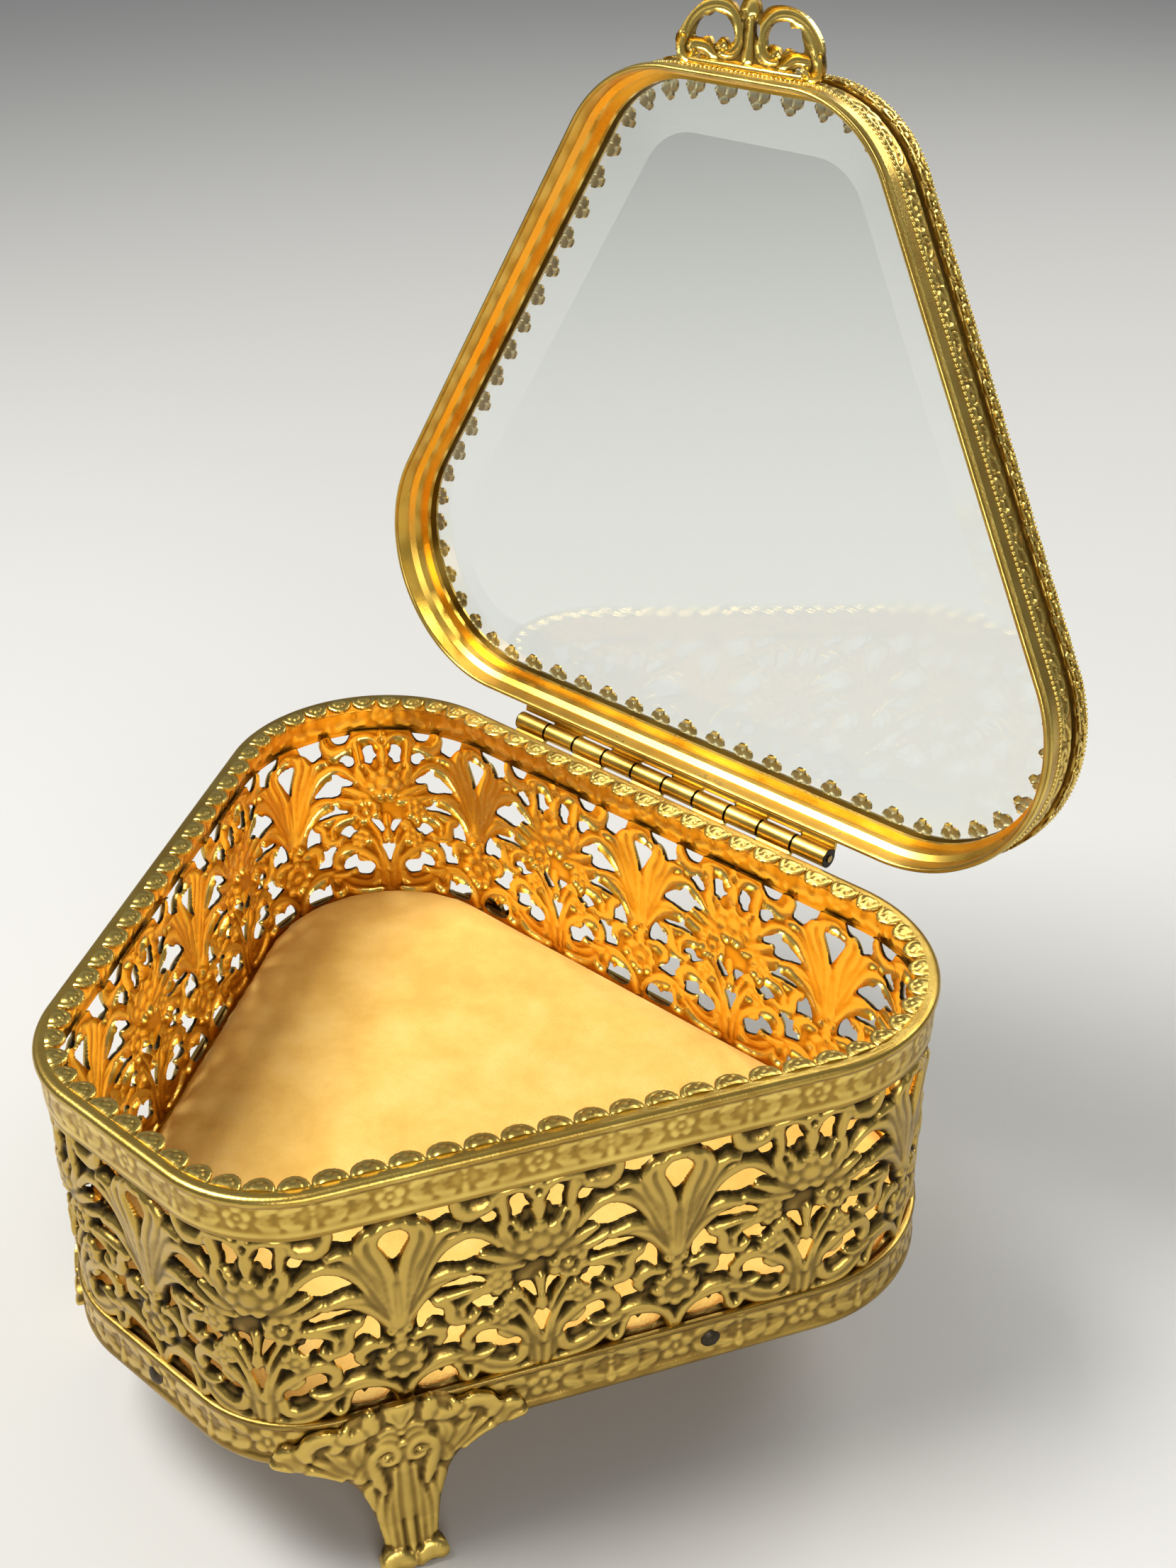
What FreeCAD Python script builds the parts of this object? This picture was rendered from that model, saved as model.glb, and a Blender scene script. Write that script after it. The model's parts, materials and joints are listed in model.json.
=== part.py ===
import FreeCAD, Part
import math
import os

# Filigree jewelry casket with a hinged, bevelled glass lid.  Millimetres, +Z up, front towards -Y.
# The lid is drawn shut and then turned back on its hinge, which is how the box stands at rest.
# Heights are measured up from the table.  Offsets are measured outwards from the rim's own outline.

# ---- driving dimensions -------------------------------------------------------------------------
# plan of the rim: a trapezoid with round corners, narrow side in front
base_depth = 112.0
back_half_width = 86.0          # to the sharp corner, before it is rounded
front_half_width = 23.4
back_radius = 25.7
front_radius = 20.8

# heights
foot_drop = 22.2                # table to the underside of the bottom band
wall_height = 50.8              # underside of the bottom band to the top of the rim
rim_height = 7.7
bottom_band_height = 8.5

# sheet metal
sheet = 0.6                     # rim, bands and hinge leaves
wall_sheet = 0.8                # filigree strip
band_inset = 0.5                # band faces lie this far inside the rolled edge
roll_radius = 0.85              # rolled top edge of the rim
roll_angle = -50.0              # where the rolled edge meets the rim's face
flange_width = 2.3              # flat ledge round the mouth
scallop_pitch = 5.0
scallop_radius = 2.2
ridge = 0.3                     # two fine ridges along the rim's lower edge
lip_radius = 0.95               # half-round lower lip of the bottom band
lip_proud = 0.4                 # the lip stands this far out of the band's face

# filigree strip
motif_pitch = 40.2
motif_shift = 2.1               # the strip starts this far round from the middle of the front
strip_tuck = 2.0                # hidden behind each band

# floor and lining
plate_sheet = 0.8
plate_lift = 0.7                # the floor sits this far above the band's lower edge
plate_flange = 4.6
card_thickness = 1.0
pad_thickness = 7.4
pad_round = 2.4
lining_clearance = 0.4          # round the edge of the card and of the pad

# feet and rivets
front_foot_place = 41.0         # along the rim from the middle of the front
back_foot_place = 40.2          # along the rim from the middle of the back
foot_half_span = 18.5
foot_wing_height = 7.3
foot_neck_half = 3.2
toe_half_width = 4.8
toe_depth = 3.4
toe_reach = 3.0                 # how far the toe swings out from the wall
foot_sheet = 1.2
foot_wing_drop = 3.0            # the wings reach this far below the bottom band
foot_overlap = 0.5              # of the wings and the leg
side_rivet_place = 88.0
rivet_head_radius = 1.65
rivet_head_height = 0.8
rivet_shank_radius = 0.8
rivet_clearance = 0.05
rivet_room = 1.0                # cutters run this far past what they cut
upset_radius = 1.05
upset_height = 0.3
rivet_lift = 4.2                # above the lower edge of the bottom band

# hinge
hinge_length = 67.4
knuckle_count = 10
knuckle_radius = 1.6
knuckle_gap = 0.15
pin_radius = 0.6
pin_clearance = 0.05
hinge_back = 2.4                # axis behind the rim
hinge_lift = 0.2                # axis above the top of the rim
leaf_height = 4.0
leaf_sheet = 0.6
web_height = 1.2                # of the base leaf's webs, where they leave the plate
lid_web_height = 0.7            # of the lid leaf's webs
web_reach = 0.9                 # webs end this far out inside a knuckle, as a share of its radius
base_web_angles = (-90.0, -140.0)
lid_web_angles = (80.0, 120.0)
lid_leaf_lift = 1.2             # the lid's leaf starts this far above its lower edge
lid_leaf_height = 5.0
open_angle = 95.0

# lid
lid_gap = 0.3                   # daylight between rim and lid when shut
lid_inset = 0.7
lid_frame_height = 7.0
lid_frame_sheet = 0.8
lid_bead = 0.5                  # height of the rounded lower edge
lid_bead_hollow = 0.15          # the face runs in this much above the bead
liner_sheet = 0.8
liner_start = 3.0
ledge_width = 1.7
ledge_sheet = 0.8
groove_height = 0.8
bezel_height = 3.0
bezel_sheet = 0.8
bezel_inset = 0.1
bezel_round = 0.6               # rounded upper edge of the bezel's skirt
tab_tuck = 0.35                 # each trefoil starts this far inside the flange
bezel_flange = 3.2
bezel_fall = 0.9                # the bezel's flange slopes down this much towards the glass
trefoil_pitch = 6.0
trefoil_lobe = 0.8
trefoil_stem = 1.4
tab_sheet = 0.6
glass_thickness = 2.6
glass_edge = 1.4
glass_clearance = 0.1
bevel_width = 9.5

# crown handle
crown_half_width = 13.4
crown_reach = 10.2
crown_sheet = 1.4
crown_height = 6.0              # its middle above the lid's lower edge
crown_base_half = 10.4
crown_base_height = 3.4
crown_rim = 1.9                 # width of the metal round each loop
crown_gap = 0.4                 # the loops stop this far short of the bud's tip
crown_sink = 0.2                # and start this far inside the strip
crown_bar_height = 2.3          # solid bar where loops and strip meet

# ---- values worked out from them ----------------------------------------------------------------
band_bottom = foot_drop
rim_top = band_bottom + wall_height
rim_bottom = rim_top - rim_height
band_top = band_bottom + bottom_band_height
band_face = -band_inset
band_back = band_face - sheet
lip_out = band_face + lip_proud
strip_back = band_back - wall_sheet
roll_foot = rim_top - roll_radius * (1 - math.sin(math.radians(roll_angle))) - ridge
plate_top = band_bottom + plate_lift + plate_sheet
card_top = plate_top + card_thickness
pad_top = card_top + pad_thickness
rivet_height = band_bottom + rivet_lift
lid_bottom = rim_top + lid_gap
lid_face = -lid_inset
lid_frame_back = lid_face - lid_frame_sheet
liner_back = lid_frame_back - liner_sheet
ledge_top = lid_bottom + lid_frame_height
bezel_face = -bezel_inset
bezel_back = bezel_face - bezel_sheet
bezel_bottom = ledge_top + groove_height
bezel_top = bezel_bottom + bezel_height
tab_top = bezel_top - bezel_fall
hinge_y = base_depth / 2 + hinge_back
hinge_z = rim_top + hinge_lift

V = FreeCAD.Vector
UP = V(0, 0, 1)


# ---- the plan -----------------------------------------------------------------------------------
def make_corners():
    """The four round corners, anticlockwise from front right: centre, radius, first angle, turn."""
    half = base_depth / 2
    sharp = [(front_half_width, -half), (back_half_width, half),
             (-back_half_width, half), (-front_half_width, -half)]
    radii = [front_radius, back_radius, back_radius, front_radius]
    slope = math.degrees(math.atan2(back_half_width - front_half_width, base_depth))
    facing = [-90.0, -slope, 90.0, 180.0 + slope, 270.0]
    found = []
    for index, (x, y) in enumerate(sharp):
        first = facing[index]
        turn = facing[index + 1] - first
        middle = math.radians(first + turn / 2)
        reach = radii[index] / math.cos(math.radians(turn / 2))
        centre = V(x - reach * math.cos(middle), y - reach * math.sin(middle), 0)
        found.append((centre, radii[index], first, turn))
    return found


corners = make_corners()


def facing_vector(angle):
    return V(math.cos(math.radians(angle)), math.sin(math.radians(angle)), 0)


def corner_point(index, share, offset=0.0):
    """A point on a corner, from its start (share 0) to its end (share 1)."""
    centre, radius, first, turn = corners[index % 4]
    return centre + facing_vector(first + turn * share) * (radius + offset)


def plan_pieces(offset=0.0):
    """The outline from the middle of the front, as (kind, length, corner number)."""
    pieces = []
    for index in range(4):
        before = corner_point(index - 1, 1, offset)
        straight = (corner_point(index, 0, offset) - before).Length
        radius, turn = corners[index][1], corners[index][3]
        pieces.append(("straight", straight, index))
        pieces.append(("corner", math.radians(turn) * (radius + offset), index))
    front = pieces[0][1]
    pieces[0] = ("straight", front / 2, 0)
    pieces.append(("straight", front / 2, 4))
    return pieces


def plan_length(offset=0.0):
    return sum(length for kind, length, index in plan_pieces(offset))


def plan_place(distance, offset=0.0):
    """The point at a distance round the outline, and the way it faces."""
    rest = distance % plan_length(offset)
    for kind, length, index in plan_pieces(offset):
        if rest <= length:
            break
        rest -= length
    if kind == "corner":
        centre, radius, first, turn = corners[index]
        facing = facing_vector(first + turn * rest / length)
        return centre + facing * (radius + offset), facing
    start = corner_point(index - 1, 1, offset)
    if index == 0:
        start = V(0, start.y, 0)
    facing = facing_vector(corners[index % 4][2])
    return start + V(-facing.y, facing.x, 0) * rest, facing


def plan_wire(offset, height):
    """The rim's outline moved outwards by an offset, at a height."""
    edges = []
    lift = V(0, 0, height)
    for index in range(4):
        first = corner_point(index, 0, offset) + lift
        middle = corner_point(index, 0.5, offset) + lift
        last = corner_point(index, 1, offset) + lift
        edges.append(Part.Arc(first, middle, last).toShape())
        edges.append(Part.makeLine(last, corner_point(index + 1, 0, offset) + lift))
    return Part.Wire(edges)


def slab(offset, low, high):
    """A flat piece of the plan's shape between two heights."""
    return Part.Face(plan_wire(offset, low)).extrude(V(0, 0, high - low))


# ---- sections carried round the plan ------------------------------------------------------------
def section_face(points, origin, facing):
    """A closed section of (offset, height) points; a pair of points in a row is an arc's middle and end."""
    def place(point):
        return origin + facing * point[0] + V(0, 0, point[1])

    edges = []
    start = points[0]
    for step in points[1:] + [points[0]]:
        if isinstance(step[0], tuple):
            edges.append(Part.Arc(place(start), place(step[0]), place(step[1])).toShape())
            start = step[1]
        else:
            edges.append(Part.makeLine(place(start), place(step)))
            start = step
    return Part.Face(Part.Wire(edges))


def ring(points):
    """A strip of constant section, bent round the whole plan."""
    pieces = []
    for index in range(4):
        centre, radius, first, turn = corners[index]
        begin = section_face(points, corner_point(index, 0), facing_vector(first))
        end = section_face(points, corner_point(index, 1), facing_vector(first + turn))
        run = corner_point(index + 1, 0) - corner_point(index, 1)
        pieces.append(begin.revolve(centre, UP, turn))
        pieces.append(end.extrude(run))
    return pieces[0].fuse(pieces[1:]).removeSplitter()


def arc_point(centre, radius, angle):
    turned = math.radians(angle)
    return (centre[0] + radius * math.cos(turned), centre[1] + radius * math.sin(turned))


def cylinder_along(radius, length, start, direction):
    return Part.makeCylinder(radius, length, start, direction)


# ---- base ---------------------------------------------------------------------------------------
def make_rim_band():
    """Rolled top edge, flat ledge, plain face with two ridges, and half-round tabs over the mouth."""
    roll = (-roll_radius, rim_top - roll_radius)
    ridge_out = band_face + ridge
    ledge_under = rim_top - sheet
    points = [
        (band_back, rim_bottom),
        (band_face, rim_bottom),
        (ridge_out, rim_bottom + ridge),
        (band_face, rim_bottom + 2 * ridge),
        (band_face, rim_bottom + 3 * ridge),
        (ridge_out, rim_bottom + 4 * ridge),
        (band_face, rim_bottom + 5 * ridge),
        (band_face, roll_foot),
        arc_point(roll, roll_radius, roll_angle),
        (arc_point(roll, roll_radius, (roll_angle + 90) / 2), arc_point(roll, roll_radius, 90)),
        (-flange_width, rim_top),
        (-flange_width, ledge_under),
        (band_back, ledge_under),
    ]
    band = ring(points)
    tab_line = -flange_width
    length = plan_length(tab_line)
    count = round(plan_length() / scallop_pitch)
    radius = min(scallop_radius, 0.48 * length / count)
    tabs = []
    for number in range(count):
        place, facing = plan_place(length * number / count, tab_line)
        tabs.append(Part.makeCylinder(radius, sheet, place + V(0, 0, ledge_under), UP))
    return band.fuse(tabs).removeSplitter()


def rounded_hole(across, tall):
    """A flat round-ended opening, across along X and tall along Z, centred on the origin."""
    radius = min(across, tall) / 2
    reach = V(across / 2 - radius, 0, 0) if across > tall else V(0, 0, tall / 2 - radius)
    side = V(0, 0, radius) if across > tall else V(radius, 0, 0)
    end = V(radius, 0, 0) if across > tall else V(0, 0, radius)
    if reach.Length < 1e-6:
        return Part.Face(Part.Wire([Part.makeCircle(radius, V(0, 0, 0), V(0, 1, 0))]))
    edges = [
        Part.makeLine(reach * -1 + side, reach + side),
        Part.Arc(reach + side, reach + end, reach - side).toShape(),
        Part.makeLine(reach - side, reach * -1 - side),
        Part.Arc(reach * -1 - side, reach * -1 - end, reach * -1 + side).toShape(),
    ]
    return Part.Face(Part.Wire(edges))


def motif_openings():
    """Openings of one repeat: distance from the palmette's axis, height, width and height of hole."""
    span = rim_bottom - band_top
    one_side = [
        (6.6, 0.95, 3.4, 1.5),      # beside the palmette's tip
        (9.8, 0.72, 6.4, 3.6),      # between the fan and the bouquet
        (9.0, 0.55, 5.4, 2.0),      # under the fan's lower lobe
        (3.9, 0.43, 2.2, 4.2),      # beside the collar
        (12.6, 0.42, 3.0, 3.0),     # behind the bouquet's side flowers
        (6.6, 0.27, 2.6, 4.0),      # beside the round flower
        (13.0, 0.18, 5.2, 3.0),     # over the ground scroll
        (4.6, 0.08, 4.6, 2.6),      # under the round flower
        (16.6, 0.86, 2.0, 3.6),     # beside the bouquet's top flower
        (18.3, 0.43, 1.4, 3.4),     # between the bouquet's stems
    ]
    holes = [(0.0, 0.84, 3.4, 5.0), (motif_pitch / 2, 0.26, 2.0, 4.0)]
    for along, share, across, tall in one_side:
        holes.append((along, share, across, tall))
        holes.append((-along, share, across, tall))
    return [(along, band_top + share * span, across, tall) for along, share, across, tall in holes]


def make_filigree_wall():
    """The pierced strip, tucked behind the rim and behind the bottom band."""
    low = band_top - strip_tuck
    high = rim_bottom + strip_tuck
    shell = ring([(strip_back, low), (band_back, low), (band_back, high), (strip_back, high)])
    count = round(plan_length() / motif_pitch)
    pitch = plan_length() / count
    stretch = pitch / motif_pitch
    cutters = []
    for number in range(count):
        for along, height, across, tall in motif_openings():
            distance = motif_shift + number * pitch + along * stretch
            place, facing = plan_place(distance)
            hole = rounded_hole(across, tall).extrude(V(0, 6 * wall_sheet, 0))
            hole.rotate(V(0, 0, 0), UP, math.degrees(math.atan2(facing.y, facing.x)) + 90)
            hole.translate(place + facing * band_face + V(0, 0, height))
            cutters.append(hole)
    return shell.cut(cutters)


def make_bottom_band():
    """Plain band with a half-round lower lip, drilled for the rivets."""
    points = [
        (band_back, band_top),
        (band_back, band_bottom),
        ((lip_out, band_bottom + lip_radius), (band_face, band_bottom + 2 * lip_radius)),
        (band_face, band_top),
    ]
    return ring(points).cut(rivet_holes())


def make_bottom_plate():
    """Floor pan with a turned-up edge that the rivets pass through."""
    low = band_bottom + plate_lift
    outer = band_back
    inner = band_back - plate_sheet
    pan = slab(outer, low, low + plate_flange)
    pan = pan.cut(slab(inner, plate_top, low + plate_flange + 1))
    return pan.cut(rivet_holes())


def make_lining_card():
    return slab(band_back - plate_sheet - lining_clearance, plate_top, card_top)


def make_lining_pad():
    """Soft pad with a rounded upper edge."""
    pad = slab(strip_back - lining_clearance, card_top, pad_top)
    top_edges = [edge for edge in pad.Edges if edge.BoundBox.ZMin > pad_top - 0.01]
    return pad.makeFillet(pad_round, top_edges)


# ---- rivets -------------------------------------------------------------------------------------
def rivet_places():
    return {
        "front": 0.0,
        "right": side_rivet_place,
        "back": plan_length() / 2,
        "left": plan_length() - side_rivet_place,
    }


def rivet_holes():
    holes = []
    for distance in rivet_places().values():
        place, facing = plan_place(distance)
        start = place + facing * (band_face + rivet_room) + V(0, 0, rivet_height)
        depth = sheet + plate_sheet + 2 * rivet_room
        holes.append(cylinder_along(rivet_shank_radius + rivet_clearance, depth, start, facing * -1))
    return holes


def make_rivet(distance):
    """Domed head outside, shank through band and pan, small upset end inside."""
    place, facing = plan_place(distance)
    face = place + facing * band_face + V(0, 0, rivet_height)
    through = sheet + plate_sheet
    cap_radius = (rivet_head_radius ** 2 + rivet_head_height ** 2) / (2 * rivet_head_height)
    ball = Part.makeSphere(cap_radius, face - facing * (cap_radius - rivet_head_height))
    room = cylinder_along(rivet_head_radius + rivet_room, rivet_head_height + rivet_room, face, facing)
    head = ball.common(room)
    shank = cylinder_along(rivet_shank_radius, through + upset_height, face, facing * -1)
    upset_start = face - facing * through
    upset = cylinder_along(upset_radius, upset_height, upset_start, facing * -1)
    return head.fuse([shank, upset]).removeSplitter()


# ---- feet ---------------------------------------------------------------------------------------
def foot_outline(distance):
    """The stamping's outline on the wall: spread wings, waisted leg and flared toe, as a thick prism."""
    place, facing = plan_place(distance)
    along = V(-facing.y, facing.x, 0)
    wing_top = band_bottom + foot_wing_height
    half = [
        (0.0, wing_top + 0.3),
        (0.30 * foot_half_span, wing_top - 0.2),
        (0.62 * foot_half_span, wing_top - 2.2),
        (foot_half_span, band_bottom + 1.6),
        (foot_half_span, band_bottom - 0.4),
        (0.58 * foot_half_span, band_bottom - 3.6),
        (0.33 * foot_half_span, 0.52 * foot_drop),
        (foot_neck_half, 0.22 * foot_drop),
        (toe_half_width, 0.06 * foot_drop),
        (toe_half_width, 0.0),
    ]
    points = half + [(-x, z) for x, z in reversed(half[1:])]
    start = place + facing * -20
    corners_3d = [start + along * x + V(0, 0, z) for x, z in points]
    face = Part.Face(Part.makePolygon(corners_3d + corners_3d[:1]))
    return face.extrude(facing * 40), place, facing, along


def make_foot(distance):
    """Stamped bracket that follows the wall and swings out to a flat toe."""
    prism, place, facing, along = foot_outline(distance)
    bracket_low = band_bottom - foot_wing_drop
    leg_top = bracket_low + foot_overlap
    bracket = ring([
        (lip_out, bracket_low),
        (lip_out + foot_sheet, bracket_low),
        (lip_out + foot_sheet, band_top),
        (lip_out, band_top),
    ]).common(prism)
    seat_low = band_bottom + 2.5 * lip_radius
    seat = ring([
        (band_face, seat_low),
        (lip_out, seat_low),
        (lip_out, band_top),
        (band_face, band_top),
    ]).common(prism)
    outer = lip_out + foot_sheet
    side = [
        (lip_out, leg_top),
        ((lip_out + 0.15 * toe_reach, 0.45 * foot_drop), (lip_out + 0.7 * toe_reach, 0.12 * foot_drop)),
        (outer + toe_reach - toe_depth, 0.0),
        (outer + toe_reach, 0.0),
        (outer + toe_reach, 0.06 * foot_drop),
        ((outer + 0.15 * toe_reach, 0.45 * foot_drop), (outer, leg_top)),
    ]
    across = 2 * foot_half_span
    section = section_face(side, place - along * (across / 2), facing)
    leg = section.extrude(along * across).common(prism)
    return bracket.fuse([seat, leg]).removeSplitter()


# ---- hinge --------------------------------------------------------------------------------------
def knuckle_spans(first):
    """The X ranges of every second knuckle, starting with number first."""
    pitch = hinge_length / knuckle_count
    spans = []
    for number in range(first, knuckle_count, 2):
        start = -hinge_length / 2 + number * pitch + knuckle_gap / 2
        spans.append((start, pitch - knuckle_gap))
    return spans


def knuckle_point(angle):
    return arc_point((hinge_y, hinge_z), web_reach * knuckle_radius, angle)


def hinge_leaf(first, plate_points, web_points):
    """A leaf soldered to the metal, with webs out to its share of the knuckles."""
    def bar(points, start, length):
        corners_3d = [V(start, y, z) for y, z in points]
        return Part.Face(Part.makePolygon(corners_3d + corners_3d[:1])).extrude(V(length, 0, 0))

    leaf = bar(plate_points, -hinge_length / 2, hinge_length)
    parts = []
    for start, length in knuckle_spans(first):
        parts.append(bar(web_points, start, length))
        centre = V(start, hinge_y, hinge_z)
        parts.append(cylinder_along(knuckle_radius, length, centre, V(1, 0, 0)))
    bore_start = V(-hinge_length, hinge_y, hinge_z)
    bore = cylinder_along(pin_radius + pin_clearance, 2 * hinge_length, bore_start, V(1, 0, 0))
    return leaf.fuse(parts).removeSplitter().cut(bore)


def make_hinge_base_leaf():
    """Plate under the rolled edge, with webs up and back to the knuckles."""
    wall_y = base_depth / 2 + band_face
    top = roll_foot
    low = top - leaf_height
    plate = [(wall_y, low), (wall_y + leaf_sheet, low), (wall_y + leaf_sheet, top), (wall_y, top)]
    web = [
        (wall_y, top - web_height),
        (wall_y + leaf_sheet, top - web_height),
        knuckle_point(base_web_angles[0]),
        knuckle_point(base_web_angles[1]),
        (wall_y + leaf_sheet, top),
        (wall_y, top),
    ]
    return hinge_leaf(0, plate, web)


def make_hinge_lid_leaf():
    wall_y = base_depth / 2 + lid_face
    low = lid_bottom + lid_leaf_lift
    high = low + lid_leaf_height
    plate = [(wall_y, low), (wall_y + leaf_sheet, low), (wall_y + leaf_sheet, high), (wall_y, high)]
    web = [
        (wall_y, low),
        (wall_y + leaf_sheet, low + lid_web_height),
        knuckle_point(lid_web_angles[0]),
        knuckle_point(lid_web_angles[1]),
    ]
    return hinge_leaf(1, plate, web)


def make_hinge_pin():
    length = hinge_length + 2 * knuckle_gap
    return cylinder_along(pin_radius, length, V(-length / 2, hinge_y, hinge_z), V(1, 0, 0))


# ---- lid, drawn shut ----------------------------------------------------------------------------
def make_lid_frame():
    """Outer wall of the lid with a rounded lower bead."""
    middle = (lid_face + lid_frame_back) / 2
    points = [
        (lid_frame_back, lid_bottom + lid_bead),
        ((middle, lid_bottom), (lid_face + lid_bead_hollow, lid_bottom + lid_bead)),
        (lid_face, lid_bottom + 2 * lid_bead),
        (lid_face, ledge_top),
        (lid_frame_back, ledge_top),
    ]
    return ring(points)


def make_lid_liner():
    """Inner strip: a step up the inside of the frame and the ledge that carries the glass."""
    low = lid_bottom + liner_start
    ledge_in = liner_back - ledge_width + liner_sheet
    under = ledge_top - ledge_sheet
    points = [
        (lid_frame_back, low),
        (lid_frame_back, ledge_top),
        (ledge_in, ledge_top),
        (ledge_in, under),
        (liner_back, under),
        (liner_back, low + liner_sheet),
    ]
    return ring(points)


def make_lid_glass():
    """Flat pane with a wide bevel ground into its upper edge."""
    edge = bezel_back - bezel_sheet / 2 - glass_clearance
    flat = slab(edge, ledge_top, ledge_top + glass_edge)
    lower = plan_wire(edge, ledge_top + glass_edge)
    upper = plan_wire(edge - bevel_width, ledge_top + glass_thickness)
    return flat.fuse(Part.makeLoft([lower, upper], True, True)).removeSplitter()


def make_lid_bezel():
    """Skirt over a groove, sloping flange, and trefoil tabs pressed down over the glass."""
    inner = bezel_back - bezel_sheet / 2
    crest = (bezel_face - bezel_round, bezel_top)
    shoulder = bezel_round * (1 - math.sqrt(0.5))
    points = [
        (inner, ledge_top),
        (bezel_back, ledge_top),
        (bezel_back, bezel_bottom),
        (bezel_face, bezel_bottom),
        (bezel_face, bezel_top - bezel_round),
        ((bezel_face - shoulder, bezel_top - shoulder), crest),
        (-bezel_flange, tab_top),
        (-bezel_flange, tab_top - tab_sheet),
        (inner, bezel_top - 2 * tab_sheet),
    ]
    bezel = ring(points)
    edge_length = plan_length(-bezel_flange)
    count = round(plan_length() / trefoil_pitch)
    tabs = []
    for number in range(count):
        place, facing = plan_place(edge_length * number / count, -bezel_flange)
        along = V(-facing.y, facing.x, 0)
        low = place + V(0, 0, tab_top - tab_sheet)
        for sideways, inwards in ((0, trefoil_stem + trefoil_lobe), (1, trefoil_stem), (-1, trefoil_stem)):
            centre = low + along * (sideways * trefoil_lobe) - facing * (inwards - tab_tuck)
            tabs.append(Part.makeCylinder(trefoil_lobe, tab_sheet, centre, UP))
        stem = Part.makeBox(trefoil_stem + tab_tuck, trefoil_lobe, tab_sheet)
        stem.translate(V(-trefoil_stem, -trefoil_lobe / 2, 0))
        stem.rotate(V(0, 0, 0), UP, math.degrees(math.atan2(facing.y, facing.x)))
        stem.translate(low)
        tabs.append(stem)
    return bezel.fuse(tabs).removeSplitter()


def make_crown_handle():
    """Two open scroll loops and a bud, on a strip soldered across the front of the lid."""
    face_y = -base_depth / 2 - lid_face
    low = lid_bottom + crown_height - crown_sheet / 2
    loop_across = crown_half_width + crown_rim / 2
    loop_deep = crown_reach - crown_sheet - crown_gap

    def loop(middle, across, deep):
        shape = rounded_hole(across, deep)
        shape.rotate(V(0, 0, 0), V(1, 0, 0), 90)
        shape.translate(V(middle, face_y - crown_sheet + crown_sink - loop_deep / 2, low))
        return shape.extrude(V(0, 0, crown_sheet))

    strip = Part.makeBox(2 * crown_base_half, crown_sheet, crown_base_height)
    strip.translate(V(-crown_base_half, face_y - crown_sheet, low + crown_sheet / 2 - crown_base_height / 2))
    pieces = []
    holes = []
    for side in (-1, 1):
        middle = side * (crown_half_width - loop_across / 2)
        pieces.append(loop(middle, loop_across, loop_deep))
        holes.append(loop(middle, loop_across - 2 * crown_rim, loop_deep - 2 * crown_rim))
    bud_centre = V(0, face_y - crown_reach + crown_rim, low)
    pieces.append(Part.makeCylinder(crown_rim, crown_sheet, bud_centre, UP))
    bar_half = 0.8 * crown_base_half
    foot_bar = Part.makeBox(2 * bar_half, crown_bar_height, crown_sheet)
    foot_bar.translate(V(-bar_half, face_y - crown_sheet - crown_bar_height, low))
    pieces.append(foot_bar)
    return strip.fuse(pieces).cut(holes).removeSplitter()


# ---- the whole box ------------------------------------------------------------------------------
def make_base():
    half_round = plan_length() / 2
    base = {
        "rim_band": make_rim_band(),
        "filigree_wall": make_filigree_wall(),
        "bottom_band": make_bottom_band(),
        "bottom_plate": make_bottom_plate(),
        "lining_card": make_lining_card(),
        "lining_pad": make_lining_pad(),
        "foot_front_right": make_foot(front_foot_place),
        "foot_front_left": make_foot(-front_foot_place),
        "foot_back_right": make_foot(half_round - back_foot_place),
        "foot_back_left": make_foot(half_round + back_foot_place),
        "hinge_base_leaf": make_hinge_base_leaf(),
        "hinge_pin": make_hinge_pin(),
    }
    for side, distance in rivet_places().items():
        base["rivet_" + side] = make_rivet(distance)
    return base


def make_lid():
    return {
        "lid_frame": make_lid_frame(),
        "lid_liner": make_lid_liner(),
        "lid_glass": make_lid_glass(),
        "lid_bezel": make_lid_bezel(),
        "crown_handle": make_crown_handle(),
        "hinge_lid_leaf": make_hinge_lid_leaf(),
    }


def main():
    base = make_base()
    lid = make_lid()
    for shape in lid.values():
        shape.rotate(V(0, hinge_y, hinge_z), V(1, 0, 0), -open_angle)
    nodes = {**base, **lid}
    boxes = [shape.optimalBoundingBox(False) for shape in nodes.values()]
    front = min(box.YMin for box in boxes)
    back = max(box.YMax for box in boxes)
    middle = (front + back) / 2
    os.makedirs("parts", exist_ok=True)
    for (name, shape), box in zip(nodes.items(), boxes):
        shape.translate(V(0, -middle, 0))
        box.move(V(0, -middle, 0))
        shape.exportStep("parts/" + name + ".step")
        print(name, len(shape.Solids), shape.isValid(), round(shape.Volume, 1),
              [round(v, 2) for v in (box.XMin, box.YMin, box.ZMin, box.XMax, box.YMax, box.ZMax)])
    print("middle of the depth", round(middle, 4), "hinge y", round(hinge_y - middle, 4),
          "hinge z", round(hinge_z, 4), "pad top", round(pad_top, 3), "rim top", rim_top,
          "round the rim", round(plan_length(), 2))


main()
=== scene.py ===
import json
import math

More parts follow.
